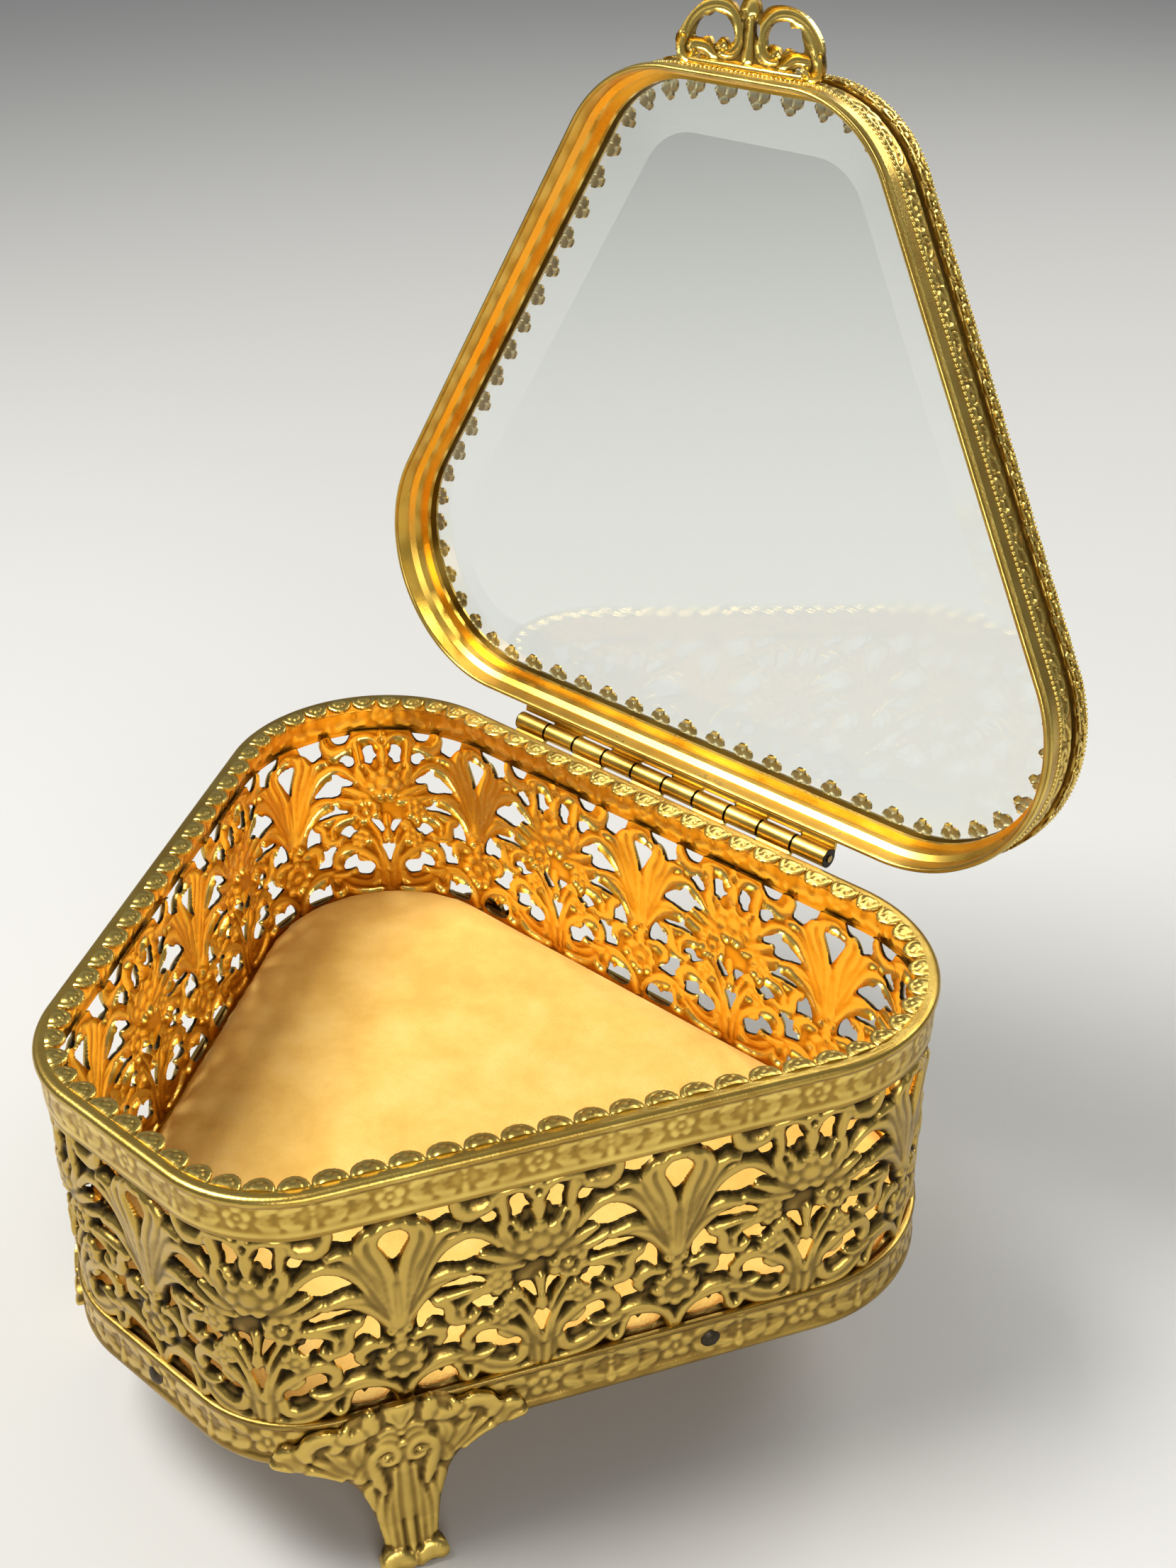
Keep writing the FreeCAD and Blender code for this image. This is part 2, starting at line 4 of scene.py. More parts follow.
import bpy
import numpy as np
from mathutils import Matrix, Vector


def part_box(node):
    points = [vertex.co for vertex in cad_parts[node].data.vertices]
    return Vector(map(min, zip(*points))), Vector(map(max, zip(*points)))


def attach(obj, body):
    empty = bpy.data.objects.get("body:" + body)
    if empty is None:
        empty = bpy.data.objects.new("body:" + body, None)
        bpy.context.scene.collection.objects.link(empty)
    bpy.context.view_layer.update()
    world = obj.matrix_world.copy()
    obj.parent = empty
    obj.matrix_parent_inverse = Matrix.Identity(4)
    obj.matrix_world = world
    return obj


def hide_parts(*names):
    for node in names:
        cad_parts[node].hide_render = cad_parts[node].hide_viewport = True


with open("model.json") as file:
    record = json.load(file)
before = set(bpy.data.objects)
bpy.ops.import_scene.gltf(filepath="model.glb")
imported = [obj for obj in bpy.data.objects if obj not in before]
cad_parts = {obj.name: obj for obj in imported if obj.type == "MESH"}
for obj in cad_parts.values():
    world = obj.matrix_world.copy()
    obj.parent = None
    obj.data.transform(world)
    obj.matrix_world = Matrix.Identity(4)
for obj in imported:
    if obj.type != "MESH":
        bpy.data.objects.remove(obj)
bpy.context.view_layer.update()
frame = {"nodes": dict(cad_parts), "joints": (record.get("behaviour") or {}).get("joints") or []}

# ==================================================================================================
# Bottom band.
# A strip of stamped brass bent round the foot of the box on a wooden former: a half-round lip below, a
# fillet above, and between them a garland of flowers and paired leaves. Its ends are soldered at the back.
# ==================================================================================================
MM = 0.001
rim_low, rim_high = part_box("rim_band")
band_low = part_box("bottom_band")[0]
plan_middle = (rim_low.y + rim_high.y) / 2 / MM
plan_half_depth = (rim_high.y - rim_low.y) / 2 / MM
back_half_width = 86.0
front_half_width = 23.4
back_radius = 25.7
front_radius = 20.8


def plan_corners():
    """Centre, radius, first facing angle and turn of each corner, anticlockwise from front right."""
    half = plan_half_depth
    sharp = [(front_half_width, -half), (back_half_width, half),
             (-back_half_width, half), (-front_half_width, -half)]
    radii = [front_radius, back_radius, back_radius, front_radius]
    slope = math.atan2(back_half_width - front_half_width, 2 * half)
    facing = [-math.pi / 2, -slope, math.pi / 2, math.pi + slope, 1.5 * math.pi]
    found = []
    for index, (x, y) in enumerate(sharp):
        turn = facing[index + 1] - facing[index]
        middle = facing[index] + turn / 2
        reach = radii[index] / math.cos(turn / 2)
        centre = np.array([x - reach * math.cos(middle), y - reach * math.sin(middle)])
        found.append((centre, radii[index], facing[index], turn))
    return found


corners = plan_corners()


def plan_stretches():
    """Straight and round stretches of the plan from the middle of the front, with their lengths."""
    stretches = []
    for index, (centre, radius, first, turn) in enumerate(corners):
        before = corners[index - 1]
        end = before[2] + before[3]
        start_point = before[0] + before[1] * np.array([math.cos(end), math.sin(end)])
        stop_point = centre + radius * np.array([math.cos(first), math.sin(first)])
        length = float(np.linalg.norm(stop_point - start_point))
        stretches.append(("straight", length, start_point, first))
        stretches.append(("round", radius * turn, centre, first, radius))
    kind, length, start_point, facing = stretches[0]
    stretches[0] = (kind, length / 2, np.array([0.0, start_point[1]]), facing)
    stretches.append((kind, length / 2, start_point, facing))
    return stretches


stretches = plan_stretches()
round_the_rim = sum(stretch[1] for stretch in stretches)


def plan_points(along, offset):
    """X and Y in millimetres of points along the plan, moved outwards by an offset."""
    along = np.mod(np.asarray(along, float), round_the_rim)
    offset = np.broadcast_to(np.asarray(offset, float), along.shape)
    x, y = np.zeros_like(along), np.zeros_like(along)
    start = 0.0
    for stretch in stretches:
        here = (along >= start - 1e-9) & (along <= start + stretch[1] + 1e-9)
        rest = along[here] - start
        if stretch[0] == "straight":
            angle = np.full(rest.shape, stretch[3])
            x[here] = stretch[2][0] - np.sin(angle) * rest + np.cos(angle) * offset[here]
            y[here] = stretch[2][1] + np.cos(angle) * rest + np.sin(angle) * offset[here]
        else:
            angle = stretch[3] + rest / stretch[4]
            x[here] = stretch[2][0] + np.cos(angle) * (stretch[4] + offset[here])
            y[here] = stretch[2][1] + np.sin(angle) * (stretch[4] + offset[here])
        start += stretch[1]
    return x, y + plan_middle


def on_base(along, height, offset):
    """Places flat strip coordinates on the base: height is above the table."""
    x, y = plan_points(along, offset)
    return np.stack([x, y, np.broadcast_to(height, x.shape)], -1) * MM


# relief: a die is a height map in millimetres, drawn from leaves, stems and petals

def smooth_line(points, closed=False, steps=6):
    """A smooth curve through given points."""
    p = np.array(points, float)
    count = len(p) if closed else len(p) - 1
    found = []
    for k in range(count):
        if closed:
            a, b, c, d = p[k - 1], p[k], p[(k + 1) % len(p)], p[(k + 2) % len(p)]
        else:
            a, b, c, d = p[max(k - 1, 0)], p[k], p[k + 1], p[min(k + 2, len(p) - 1)]
        for t in np.arange(steps) / steps:
            found.append(0.5 * (2 * b + (c - a) * t + (2 * a - 5 * b + 4 * c - d) * t ** 2
                                + (3 * b - a - 3 * c + d) * t ** 3))
    if not closed:
        found.append(p[-1])
    return np.array(found)


def blurred(values, reach, wrap=False):
    """A height map smoothed by a bell-shaped weight; wrap joins its left and right ends."""
    steps = np.arange(-3 * reach, 3 * reach + 1)
    weights = np.exp(-0.5 * (steps / max(reach, 1e-6)) ** 2)
    weights /= weights.sum()
    for axis in (0, 1):
        if wrap and axis == 0:
            core = values[:-1]
            padded = np.concatenate([core[-3 * reach:], values, core[1:3 * reach + 1]], 0)
        else:
            margin = [(0, 0), (0, 0)]
            margin[axis] = (3 * reach, 3 * reach)
            padded = np.pad(values, margin, mode="edge")
        size = values.shape[axis]
        values = sum(w * np.take(padded, range(k, k + size), axis) for k, w in enumerate(weights))
    return values


class Die:
    """A height map over a flat patch, in millimetres. Rows may be given where they aren't even."""

    def __init__(self, across, up, spacing, wrap=False, rows=None):
        self.across = np.linspace(*across, int(round((across[1] - across[0]) / spacing)) + 1)
        self.up = np.linspace(*up, int(round((up[1] - up[0]) / spacing)) + 1) if rows is None else rows
        self.u, self.v = np.meshgrid(self.across, self.up, indexing="ij")
        self.height = np.zeros_like(self.u)
        self.cover = np.full_like(self.u, 50.0)
        self.wrap = wrap

    def near(self, points, reach):
        """Grid cells within reach of a line of points."""
        low = points.min(0) - reach
        high = points.max(0) + reach
        inside = (self.u > low[0]) & (self.u < high[0]) & (self.v > low[1]) & (self.v < high[1])
        return np.nonzero(inside)

    def distance(self, line, cells):
        """Distance to a line of short straight runs, and the share of the way along it."""
        u, v = self.u[cells], self.v[cells]
        best = np.full(u.shape, 1e9)
        share = np.zeros(u.shape)
        lengths = np.linalg.norm(np.diff(line, axis=0), axis=1)
        total = max(lengths.sum(), 1e-9)
        done = 0.0
        for k, length in enumerate(lengths):
            run = line[k + 1] - line[k]
            t = ((u - line[k][0]) * run[0] + (v - line[k][1]) * run[1]) / max(length ** 2, 1e-12)
            t = np.clip(t, 0, 1)
            gap = np.hypot(u - line[k][0] - run[0] * t, v - line[k][1] - run[1] * t)
            closer = gap < best
            best = np.where(closer, gap, best)
            share = np.where(closer, (done + length * t) / total, share)
            done += length
        return best, share

    def press(self, cells, edge, dome, level, crown):
        """Raises what is inside edge < 0 and sinks a fine moat round it."""
        old = self.height[cells]
        raised = np.maximum(level + crown * dome, 0.45 * old)
        moat = old - 0.22 * np.clip(1 - edge / 0.3, 0, 1)
        self.height[cells] = np.where(edge < 0, raised, np.where(edge < 0.3, moat, old))

    def leaf(self, points, widths, level=0.25, crown=0.6, vein=0.0):
        """A domed stem or leaf along a curve; widths are half widths spread evenly along it."""
        line = smooth_line(points)
        cells = self.near(line, max(widths) + 0.4)
        if not len(cells[0]):
            return
        gap, share = self.distance(line, cells)
        width = np.interp(share, np.linspace(0, 1, len(widths)), widths)
        dome = np.sqrt(np.clip(1 - (gap / width) ** 2, 0, 1))
        if vein:
            dome = dome - vein * np.exp(-(gap / (0.16 + 0.1 * width)) ** 2)
        self.press(cells, gap - width, dome, level, crown)

    def button(self, x, y, radius, level=0.3, crown=0.5):
        """A round domed boss, such as a petal or a flower's eye."""
        centre = np.array([[x, y]], float)
        cells = self.near(centre, radius + 0.4)
        if not len(cells[0]):
            return
        gap = np.hypot(self.u[cells] - x, self.v[cells] - y)
        dome = np.sqrt(np.clip(1 - (gap / radius) ** 2, 0, 1))
        self.press(cells, gap - radius, dome, level, crown)

    def groove(self, points, width, depth):
        """A chased line that fades out at both ends."""
        line = smooth_line(points)
        cells = self.near(line, 3 * width)
        if not len(cells[0]):
            return
        gap, share = self.distance(line, cells)
        fade = np.clip(np.minimum(share, 1 - share) / 0.15, 0, 1)
        self.height[cells] -= depth * fade * np.exp(-(gap / width) ** 2)

    def opening(self, points, keep_inside=False):
        """Pierces the sheet inside a smooth outline, or keeps only what is inside it."""
        line = smooth_line(points, closed=True)
        line = np.vstack([line, line[:1]])
        cells = self.near(line, 2.0) if not keep_inside else np.nonzero(np.ones_like(self.u))
        if not len(cells[0]):
            return
        gap, share = self.distance(line, cells)
        u, v = self.u[cells], self.v[cells]
        inside = np.zeros(u.shape, bool)
        for k in range(len(line) - 1):
            (x0, y0), (x1, y1) = line[k], line[k + 1]
            crosses = (y0 > v) != (y1 > v)
            inside ^= crosses & (u < (x1 - x0) * (v - y0) / (y1 - y0 + 1e-12) + x0)
        signed = np.where(inside, -gap, gap)
        if keep_inside:
            signed = -signed
        self.cover[cells] = np.minimum(self.cover[cells], signed)

    def soften(self, reach):
        """Rounds the relief as pressed metal does; reach is in grid steps."""
        self.height = blurred(self.height, reach, self.wrap)


def hollows(height, reach, wrap=False):
    """0 on crests and open faces, 1 deep in the lines between raised parts: there the tarnished brass keeps
    its dark tarnish, and the lacquered brass is given painted shade.
    """
    deep = blurred(height, reach, wrap) - height
    return np.clip(0.3 + deep * 1.9, 0, 1)


# the section of a strip, and the strip that follows it all the way round

class Section:
    """The line that a strip's face follows up and over, as (offset, height) points; 0 is at one of them."""

    def __init__(self, path, zero):
        self.path = np.array(path, float)
        lengths = np.linalg.norm(np.diff(self.path, axis=0), axis=1)
        self.where = np.concatenate([[0.0], np.cumsum(lengths)])
        self.where -= self.where[zero]
        way = np.gradient(self.path, self.where, axis=0)
        way /= np.linalg.norm(way, axis=1)[:, None]
        self.normal = np.stack([way[:, 1], -way[:, 0]], 1)
        self.low, self.high = self.where[0], self.where[-1]

    def at(self, v, raised):
        """Offset and height of points on the strip, raised by the relief."""
        offset = np.interp(v, self.where, self.path[:, 0])
        height = np.interp(v, self.where, self.path[:, 1])
        out = np.interp(v, self.where, self.normal[:, 0])
        up = np.interp(v, self.where, self.normal[:, 1])
        return offset + out * raised, height + up * raised


def arc(centre, radii, first, last, steps=7):
    """Points of a round or oval bend in a section."""
    angles = np.radians(np.linspace(first, last, steps))
    return [(centre[0] + radii[0] * math.cos(a), centre[1] + radii[1] * math.sin(a)) for a in angles]


def pick(piece):
    """Selects one piece and nothing else."""
    bpy.ops.object.select_all(action="DESELECT")
    piece.select_set(True)
    bpy.context.view_layer.objects.active = piece


def smooth(piece, degrees):
    """Shades smoothly, but keeps edges sharper than the angle."""
    pick(piece)
    bpy.ops.object.shade_smooth_by_angle(angle=math.radians(degrees))


def mesh_object(name, points, faces, body, face_materials=None, materials=(), marks=None):
    """A named piece from points in metres, riding on a body."""
    mesh = bpy.data.meshes.new(name)
    faces = np.asarray(faces)
    mesh.vertices.add(len(points))
    mesh.vertices.foreach_set("co", np.asarray(points, np.float32).ravel())
    mesh.loops.add(faces.size)
    mesh.loops.foreach_set("vertex_index", faces.ravel().astype(np.int32))
    mesh.polygons.add(len(faces))
    mesh.polygons.foreach_set("loop_start", np.arange(0, faces.size, faces.shape[1], dtype=np.int32))
    mesh.update(calc_edges=True)
    for material in materials:
        mesh.materials.append(material)
    if face_materials is not None:
        mesh.polygons.foreach_set("material_index", np.asarray(face_materials, np.int32))
    for key, values in (marks or {}).items():
        attribute = mesh.attributes.new(key, "FLOAT", "POINT")
        attribute.data.foreach_set("value", np.asarray(values, np.float32))
    mesh.validate()
    piece = bpy.data.objects.new(name, mesh)
    bpy.context.scene.collection.objects.link(piece)
    smooth(piece, 48)
    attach(piece, body)
    return piece


def swept_strip(name, die, section, back, copies, on_body, body, materials, start=0.0):
    """A strip that runs all round: the relief in front, and a plain back given as a few points."""
    columns = len(die.across) - 1
    total = columns * copies
    along = start + np.arange(total) * round_the_rim / total
    relief = np.tile(die.height[:-1], (copies, 1))
    offset, height = section.at(np.broadcast_to(die.up, relief.shape), relief)
    front = on_body(np.broadcast_to(along[:, None], offset.shape), height, offset)
    back = np.array(back, float)
    wide = (total, len(back))
    rear = on_body(np.broadcast_to(along[:, None], wide), np.broadcast_to(back[:, 1], wide),
                   np.broadcast_to(back[:, 0], wide))
    points = np.concatenate([front, rear], 1)
    rows = points.shape[1]
    index = np.arange(total * rows).reshape(total, rows)
    right = np.roll(index, -1, 0)
    faces = np.stack([index, right, np.roll(right, -1, 1), np.roll(index, -1, 1)], -1).reshape(-1, 4)
    kinds = np.zeros((total, rows))
    kinds[:, len(die.up) - 1:] = 1
    hollow = np.full((total, rows), 0.3)
    hollow[:, :len(die.up)] = np.tile(hollows(die.height, 3, True)[:-1], (copies, 1))
    crest = np.zeros((total, rows))
    crest[:, :len(die.up)] = np.clip(relief / 0.5, 0, 1)
    return mesh_object(name, points.reshape(-1, 3), faces, body, kinds.ravel(), materials,
                       {"hollow": hollow.ravel(), "crest": crest.ravel()})


def linear(code):
    """sRGB hex to linear RGBA."""
    found = []
    for k in (0, 2, 4):
        c = int(code[k:k + 2], 16) / 255
        found.append(c / 12.92 if c <= 0.04045 else ((c + 0.055) / 1.055) ** 2.4)
    return (*found, 1.0)


def add(tree, kind, settings=None, links=None):
    """Adds a node: settings are its own properties, values of its inputs, or a ramp's stops."""
    node = tree.nodes.new(kind)
    for key, value in (settings or {}).items():
        if key == "stops":
            elements = node.color_ramp.elements
            for number, (place, code) in enumerate(value):
                element = elements[number] if number < len(elements) else elements.new(place)
                element.position = place
                element.color = linear(code)
        elif isinstance(key, str) and hasattr(node, key):
            setattr(node, key, value)
        else:
            node.inputs[key].default_value = value
    for key, socket in (links or {}).items():
        tree.links.new(socket, node.inputs[key])
    return node


def new_material(name):
    material = bpy.data.materials.new(name)
    material.use_nodes = True
    tree = material.node_tree
    tree.nodes.clear()
    shader = add(tree, "ShaderNodeBsdfPrincipled")
    add(tree, "ShaderNodeOutputMaterial", links={"Surface": shader.outputs[0]})
    return material, tree, shader


tarnish_cloud_mm = 6.25


def stamped_metal(name, dark, body, bright, rough, grain_mm=0.35, wear_and_highlight=0.5, patina_and_shade=1.0):
    """Pressed brass: darker in the hollows, lighter on the crests, and a faint grain all over.
    On the tarnished brass the dark is tarnish kept in the hollows and the light is rubbed wear; on the
    lacquered brass, which never tarnished, they are painted shade and a painted highlight.
    The real grain is a few hundredths of a millimetre, too fine to show, so it is drawn at grain_mm."""
    material, tree, shader = new_material(name)
    place = add(tree, "ShaderNodeTexCoord").outputs["Object"]
    cloudy = add(tree, "ShaderNodeTexNoise", {"Scale": 1 / (tarnish_cloud_mm * MM), "Detail": 4.0},
                 {"Vector": place}).outputs[0]
    fine = add(tree, "ShaderNodeTexNoise", {"Scale": 1 / (grain_mm * MM), "Detail": 2.0},
               {"Vector": place}).outputs[0]
    hollow = add(tree, "ShaderNodeAttribute", {"attribute_name": "hollow"}).outputs["Fac"]
    crest = add(tree, "ShaderNodeAttribute", {"attribute_name": "crest"}).outputs["Fac"]
    wavering = add(tree, "ShaderNodeMath", {"operation": "MULTIPLY_ADD", 1: 0.35, 2: -0.17}, {0: cloudy})
    deep = add(tree, "ShaderNodeMath", {"operation": "ADD"}, {0: hollow, 1: wavering.outputs[0]})
    # dark stop and crest mix: tarnish and rubbed wear on the tarnished brass; painted shade in the hollows
    # and a painted highlight on the crests of the lacquered brass
    stops = [(0.12, bright), (0.36, body), (0.36 + 0.3 / patina_and_shade, dark)]
    shade = add(tree, "ShaderNodeValToRGB", {"stops": stops}, {0: deep.outputs[0]}).outputs[0]
    lifted = add(tree, "ShaderNodeMath", {"operation": "MULTIPLY", 1: wear_and_highlight}, {0: crest})
    mixed = add(tree, "ShaderNodeMix", {"data_type": "RGBA", 7: linear(bright)},
                {0: lifted.outputs[0], 6: shade})
    tree.links.new(mixed.outputs[2], shader.inputs["Base Color"])
    roughness = add(tree, "ShaderNodeMapRange", {1: 0.2, 2: 0.9, 3: rough, 4: min(rough + 0.3, 0.8)},
                    {0: deep.outputs[0]})
    tree.links.new(roughness.outputs[0], shader.inputs["Roughness"])
    shader.inputs["Metallic"].default_value = 1.0
    bump = add(tree, "ShaderNodeBump", {"Strength": 0.25, "Distance": 0.00012}, {"Height": fine})
    tree.links.new(bump.outputs[0], shader.inputs["Normal"])
    return material


# stamped brass, antiqued and worn: olive gold, brown in the hollows and pale where hands rub the crests
worn_brass = stamped_metal("worn_antiqued_brass_stamped", "40321a", "98793a", "d8b75e", 0.3, patina_and_shade=0.55)
# the same brass under orange-gold lacquer: it never tarnished, so the inside stays warm and bright; the
# darker orange in its hollows is painted shade and the paler gold on its crests is a painted highlight
lacquered_brass = stamped_metal("orange_gold_lacquered_brass", "b47a18", "f1b63a", "ffdb74", 0.25,
                                wear_and_highlight=0.3, patina_and_shade=0.55)


motif_count = 10
motif_pitch = round_the_rim / motif_count
motif_shift = 2.1
drawn_pitch = 40.2
garland_pitch = motif_pitch / 2
drawn_garland = drawn_pitch / 2
strip_spacing = 0.25


def draw_garland(die, middle, reach, level, crown, first, second):
    """A flower in the middle of each repeat, leaves in pairs leaning away from it, a bell between."""
    centre = drawn_garland / 2
    for side in (1, -1):
        for up in (1, -1):
            for near in (first, second):
                die.leaf([(centre + side * near, middle + up * 0.1 * reach),
                          (centre + side * (near + 1.3), middle + up * 0.62 * reach),
                          (centre + side * (near + 2.9), middle + up * 0.8 * reach)],
                         [0.12 * reach, 0.42 * reach, 0.3 * reach], level=level, crown=crown, vein=0.4)
                die.leaf([(centre + side * (near + 0.2), middle + up * 0.05 * reach),
                          (centre + side * (near + 2.2), middle + up * 0.22 * reach)],
                         [0.1 * reach, 0.16 * reach], level=0.6 * level, crown=0.5 * crown)
    for step in range(5):
        angle = math.radians(90 + 72 * step)
        die.button(centre + 0.62 * reach * math.cos(angle), middle + 0.6 * reach * math.sin(angle),
                   0.44 * reach, level=level, crown=0.9 * crown)
    die.button(centre, middle, 0.3 * reach, level=0.5 * level, crown=0.4 * crown)
    die.leaf([(centre, middle - 0.1 * reach), (centre, middle + 0.14 * reach)], [0.17 * reach, 0.17 * reach],
             level=1.4 * level, crown=1.1 * crown)
    for end in (0.0, drawn_garland):
        die.leaf([(end, middle - 0.25 * reach), (end, middle - 0.9 * reach)], [0.12 * reach, 0.36 * reach],
                 level=level, crown=0.8 * crown, vein=0.3)
        die.leaf([(end, middle + 0.4 * reach), (end, middle + 0.92 * reach)], [0.12 * reach, 0.3 * reach],
                 level=level, crown=0.8 * crown, vein=0.3)
        die.button(end, middle + 0.1 * reach, 0.16 * reach, level=1.2 * level, crown=crown)


band_bottom = band_low.z / MM
face_offset = -0.5
band_inner = -1.1
garland_count = 20
band_section = Section(
    [(band_inner, band_bottom + 0.3), (-0.95, band_bottom + 0.06)]
    + arc((-0.62, band_bottom + 0.95), (0.55, 0.95), -85, 70, 9)
    + [(face_offset, band_bottom + 2.05), (face_offset, band_bottom + 7.15)]
    + arc((-0.56, band_bottom + 7.85), (0.4, 0.55), -70, 90, 7) + [(band_inner, band_bottom + 8.45)], 11)
band_die = Die((0.0, drawn_garland), (band_section.low, band_section.high), strip_spacing, wrap=True)
draw_garland(band_die, 2.6, 2.75, 0.09, 0.2, 2.7, 5.7)
band_die.soften(1)
band_back_line = [(band_inner, band_bottom + 8.4), (band_inner, band_bottom + 0.4)]
band = swept_strip("bottom_band_garland", band_die, band_section, band_back_line, garland_count, on_base,
                   "base", [worn_brass, lacquered_brass], start=motif_shift + 0.5 * garland_pitch)
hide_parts("bottom_band")

# ==================================================================================================
# Rim band.
# A stamped strip folded over the top of the wall: a faint garland on its face, two fine ridges under it, a
# rolled edge, and a flat ledge round the mouth. Gilt outside, and lacquered inside, where the garland
# shows hollow.
# ==================================================================================================
# stamped brass with a thin gilding, rubbed by handling: brighter and yellower than the worn bands
gilt_brass = stamped_metal("rubbed_gilt_brass", "54411a", "ae8b3e", "ebcc6c", 0.28, wear_and_highlight=0.5, patina_and_shade=0.55)
rim_bottom = rim_low.z / MM
rim_top = rim_high.z / MM
rim_section = Section(
    [(band_inner, rim_bottom + 0.1), (-0.8, rim_bottom), (face_offset, rim_bottom + 0.1),
     (face_offset, rim_top - 1.75)]
    + arc((-0.85, rim_top - 0.85), (0.85, 0.85), -48, 90, 9)
    + [(-1.5, rim_top - 0.04), (-2.35, rim_top - 0.06)], 2)
rim_die = Die((0.0, drawn_garland), (rim_section.low, rim_section.high), strip_spacing, wrap=True)
draw_garland(rim_die, 4.0, 2.1, 0.04, 0.12, 2.3, 5.4)
for height, wide in ((1.45, 0.2), (1.0, 0.16)):
    rim_die.leaf([(-1.0, height), (drawn_garland + 1, height)], [wide, wide], level=0.05, crown=0.16)
rim_die.soften(1)
rim_back_line = [(-2.35, rim_top - 0.6), (-1.25, rim_top - 0.6), (band_inner, rim_top - 0.75),
                 (band_inner, rim_top - 2.6), (-1.3, rim_top - 2.85), (band_inner, rim_top - 3.1),
                 (band_inner, rim_bottom + 0.2)]
rim = swept_strip("rim_band_garland", rim_die, rim_section, rim_back_line, garland_count, on_base, "base",
                  [gilt_brass, lacquered_brass], start=motif_shift + 0.5 * garland_pitch)
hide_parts("rim_band")

inside_section = Section(
    [(-1.0, rim_top - 0.85), (-1.14, rim_top - 1.0), (-1.14, rim_top - 6.9), (-1.0, rim_top - 7.1)], 1)
inside_spacing = 1.25 * strip_spacing
inside_die = Die((0.0, drawn_garland), (inside_section.low, inside_section.high), inside_spacing, wrap=True)
draw_garland(inside_die, 2.8, 2.2, 0.1, 0.16, 2.3, 5.4)
inside_die.soften(1)
inside_back_line = [(-0.9, rim_top - 7.1), (-0.9, rim_top - 0.85)]
rim_inside = swept_strip("rim_band_inside", inside_die, inside_section, inside_back_line, garland_count,
                         on_base, "base", [lacquered_brass, lacquered_brass],
                         start=motif_shift + 0.5 * garland_pitch)
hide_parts("rim_band")

# ==================================================================================================
# Rim tabs.
# Eighty domed half-round tabs stand in from the ledge over the mouth, each with a fine line round its edge
# and a leaf pressed into it. They are part of the rim strip and are bent down a little.
# ==================================================================================================
def cut_sheet(die):
    """Cuts the grid along the edge of its openings. Gives points, triangles, rim edges and a mixer."""
    rows, columns = die.cover.shape
    step = die.across[1] - die.across[0]
    slope_u, slope_v = np.gradient(die.cover, step, die.up[1] - die.up[0])
    slope_u[0] = 0
    slope_u[-1] = 0
    steep = slope_u ** 2 + slope_v ** 2 + 1e-9
    near = (np.abs(die.cover) < 0.35 * step) & (steep > 0.2)
    u = np.where(near, die.u - die.cover * slope_u / steep, die.u).ravel()
    v = np.where(near, die.v - die.cover * slope_v / steep, die.v).ravel()
    f = np.where(near, 0.0, die.cover).ravel()
    index = np.arange(rows * columns).reshape(rows, columns)
    a, b = index[:-1, :-1].ravel(), index[1:, :-1].ravel()
    c, d = index[1:, 1:].ravel(), index[:-1, 1:].ravel()
    tris = np.vstack([np.stack([a, b, c], 1), np.stack([a, c, d], 1)])
    metal = f >= 0
    count = metal[tris].sum(1)
    whole = tris[count == 3]

    def turned(part, wanted):
        found = part.copy()
        for k in (1, 2):
            rolled = np.roll(part, -k, 1)
            pick = metal[rolled[:, 0]] == wanted
            fix = pick & (metal[found[:, 0]] != wanted)
            found[fix] = rolled[fix]
        return found

    one = turned(tris[count == 1], True)
    two = turned(tris[count == 2], False)
    pairs = np.vstack([one[:, [0, 1]], one[:, [0, 2]], two[:, [1, 0]], two[:, [2, 0]]])
    key = pairs.min(1) * (rows * columns) + pairs.max(1)
    unique, first, back = np.unique(key, return_index=True, return_inverse=True)
    inner, outer = pairs[first, 0], pairs[first, 1]
    share = f[inner] / (f[inner] - f[outer] + 1e-12)
    new = np.where(share < 1e-6, inner, rows * columns + np.arange(len(unique)))[back]
    n1, n2 = len(one), len(two)
    ab, ac = new[:n1], new[n1:2 * n1]
    tb, tc = new[2 * n1:2 * n1 + n2], new[2 * n1 + n2:]
    tris = np.vstack([
        whole,
        np.stack([one[:, 0], ab, ac], 1),
        np.stack([tb, two[:, 1], two[:, 2]], 1),
        np.stack([tb, two[:, 2], tc], 1),
    ])
    good = (tris[:, 0] != tris[:, 1]) & (tris[:, 1] != tris[:, 2]) & (tris[:, 0] != tris[:, 2])
    tris = tris[good]
    used, tris = np.unique(tris, return_inverse=True)
    tris = tris.reshape(-1, 3)

    def mix(values):
        flat = np.asarray(values).ravel()
        every = np.concatenate([flat, flat[inner] + (flat[outer] - flat[inner]) * share])
        return every[used]

    every_u = np.concatenate([u, u[inner] + (u[outer] - u[inner]) * share])[used]
    every_v = np.concatenate([v, v[inner] + (v[outer] - v[inner]) * share])[used]
    edges = np.vstack([tris[:, [0, 1]], tris[:, [1, 2]], tris[:, [2, 0]]])
    code = edges[:, 0] * len(used) + edges[:, 1]
    mirror = edges[:, 1] * len(used) + edges[:, 0]
    rim = edges[~np.isin(code, mirror)]
    return every_u, every_v, tris, rim, mix


def welded(points, faces, marks):
    """Joins corners that lie in one place, so that the relief shades smoothly over each repeat's ends."""
    grid = np.round(np.asarray(points) / 2e-6).astype(np.int64) + 2 ** 19
    key = (grid[:, 0] * 2 ** 20 + grid[:, 1]) * 2 ** 20 + grid[:, 2]
    _, first, back = np.unique(key, return_index=True, return_inverse=True)
    faces = back.reshape(-1)[faces]
    whole = (faces[:, 0] != faces[:, 1]) & (faces[:, 1] != faces[:, 2]) & (faces[:, 0] != faces[:, 2])
    return points[first], faces[whole], {key: values[first] for key, values in marks.items()}, whole


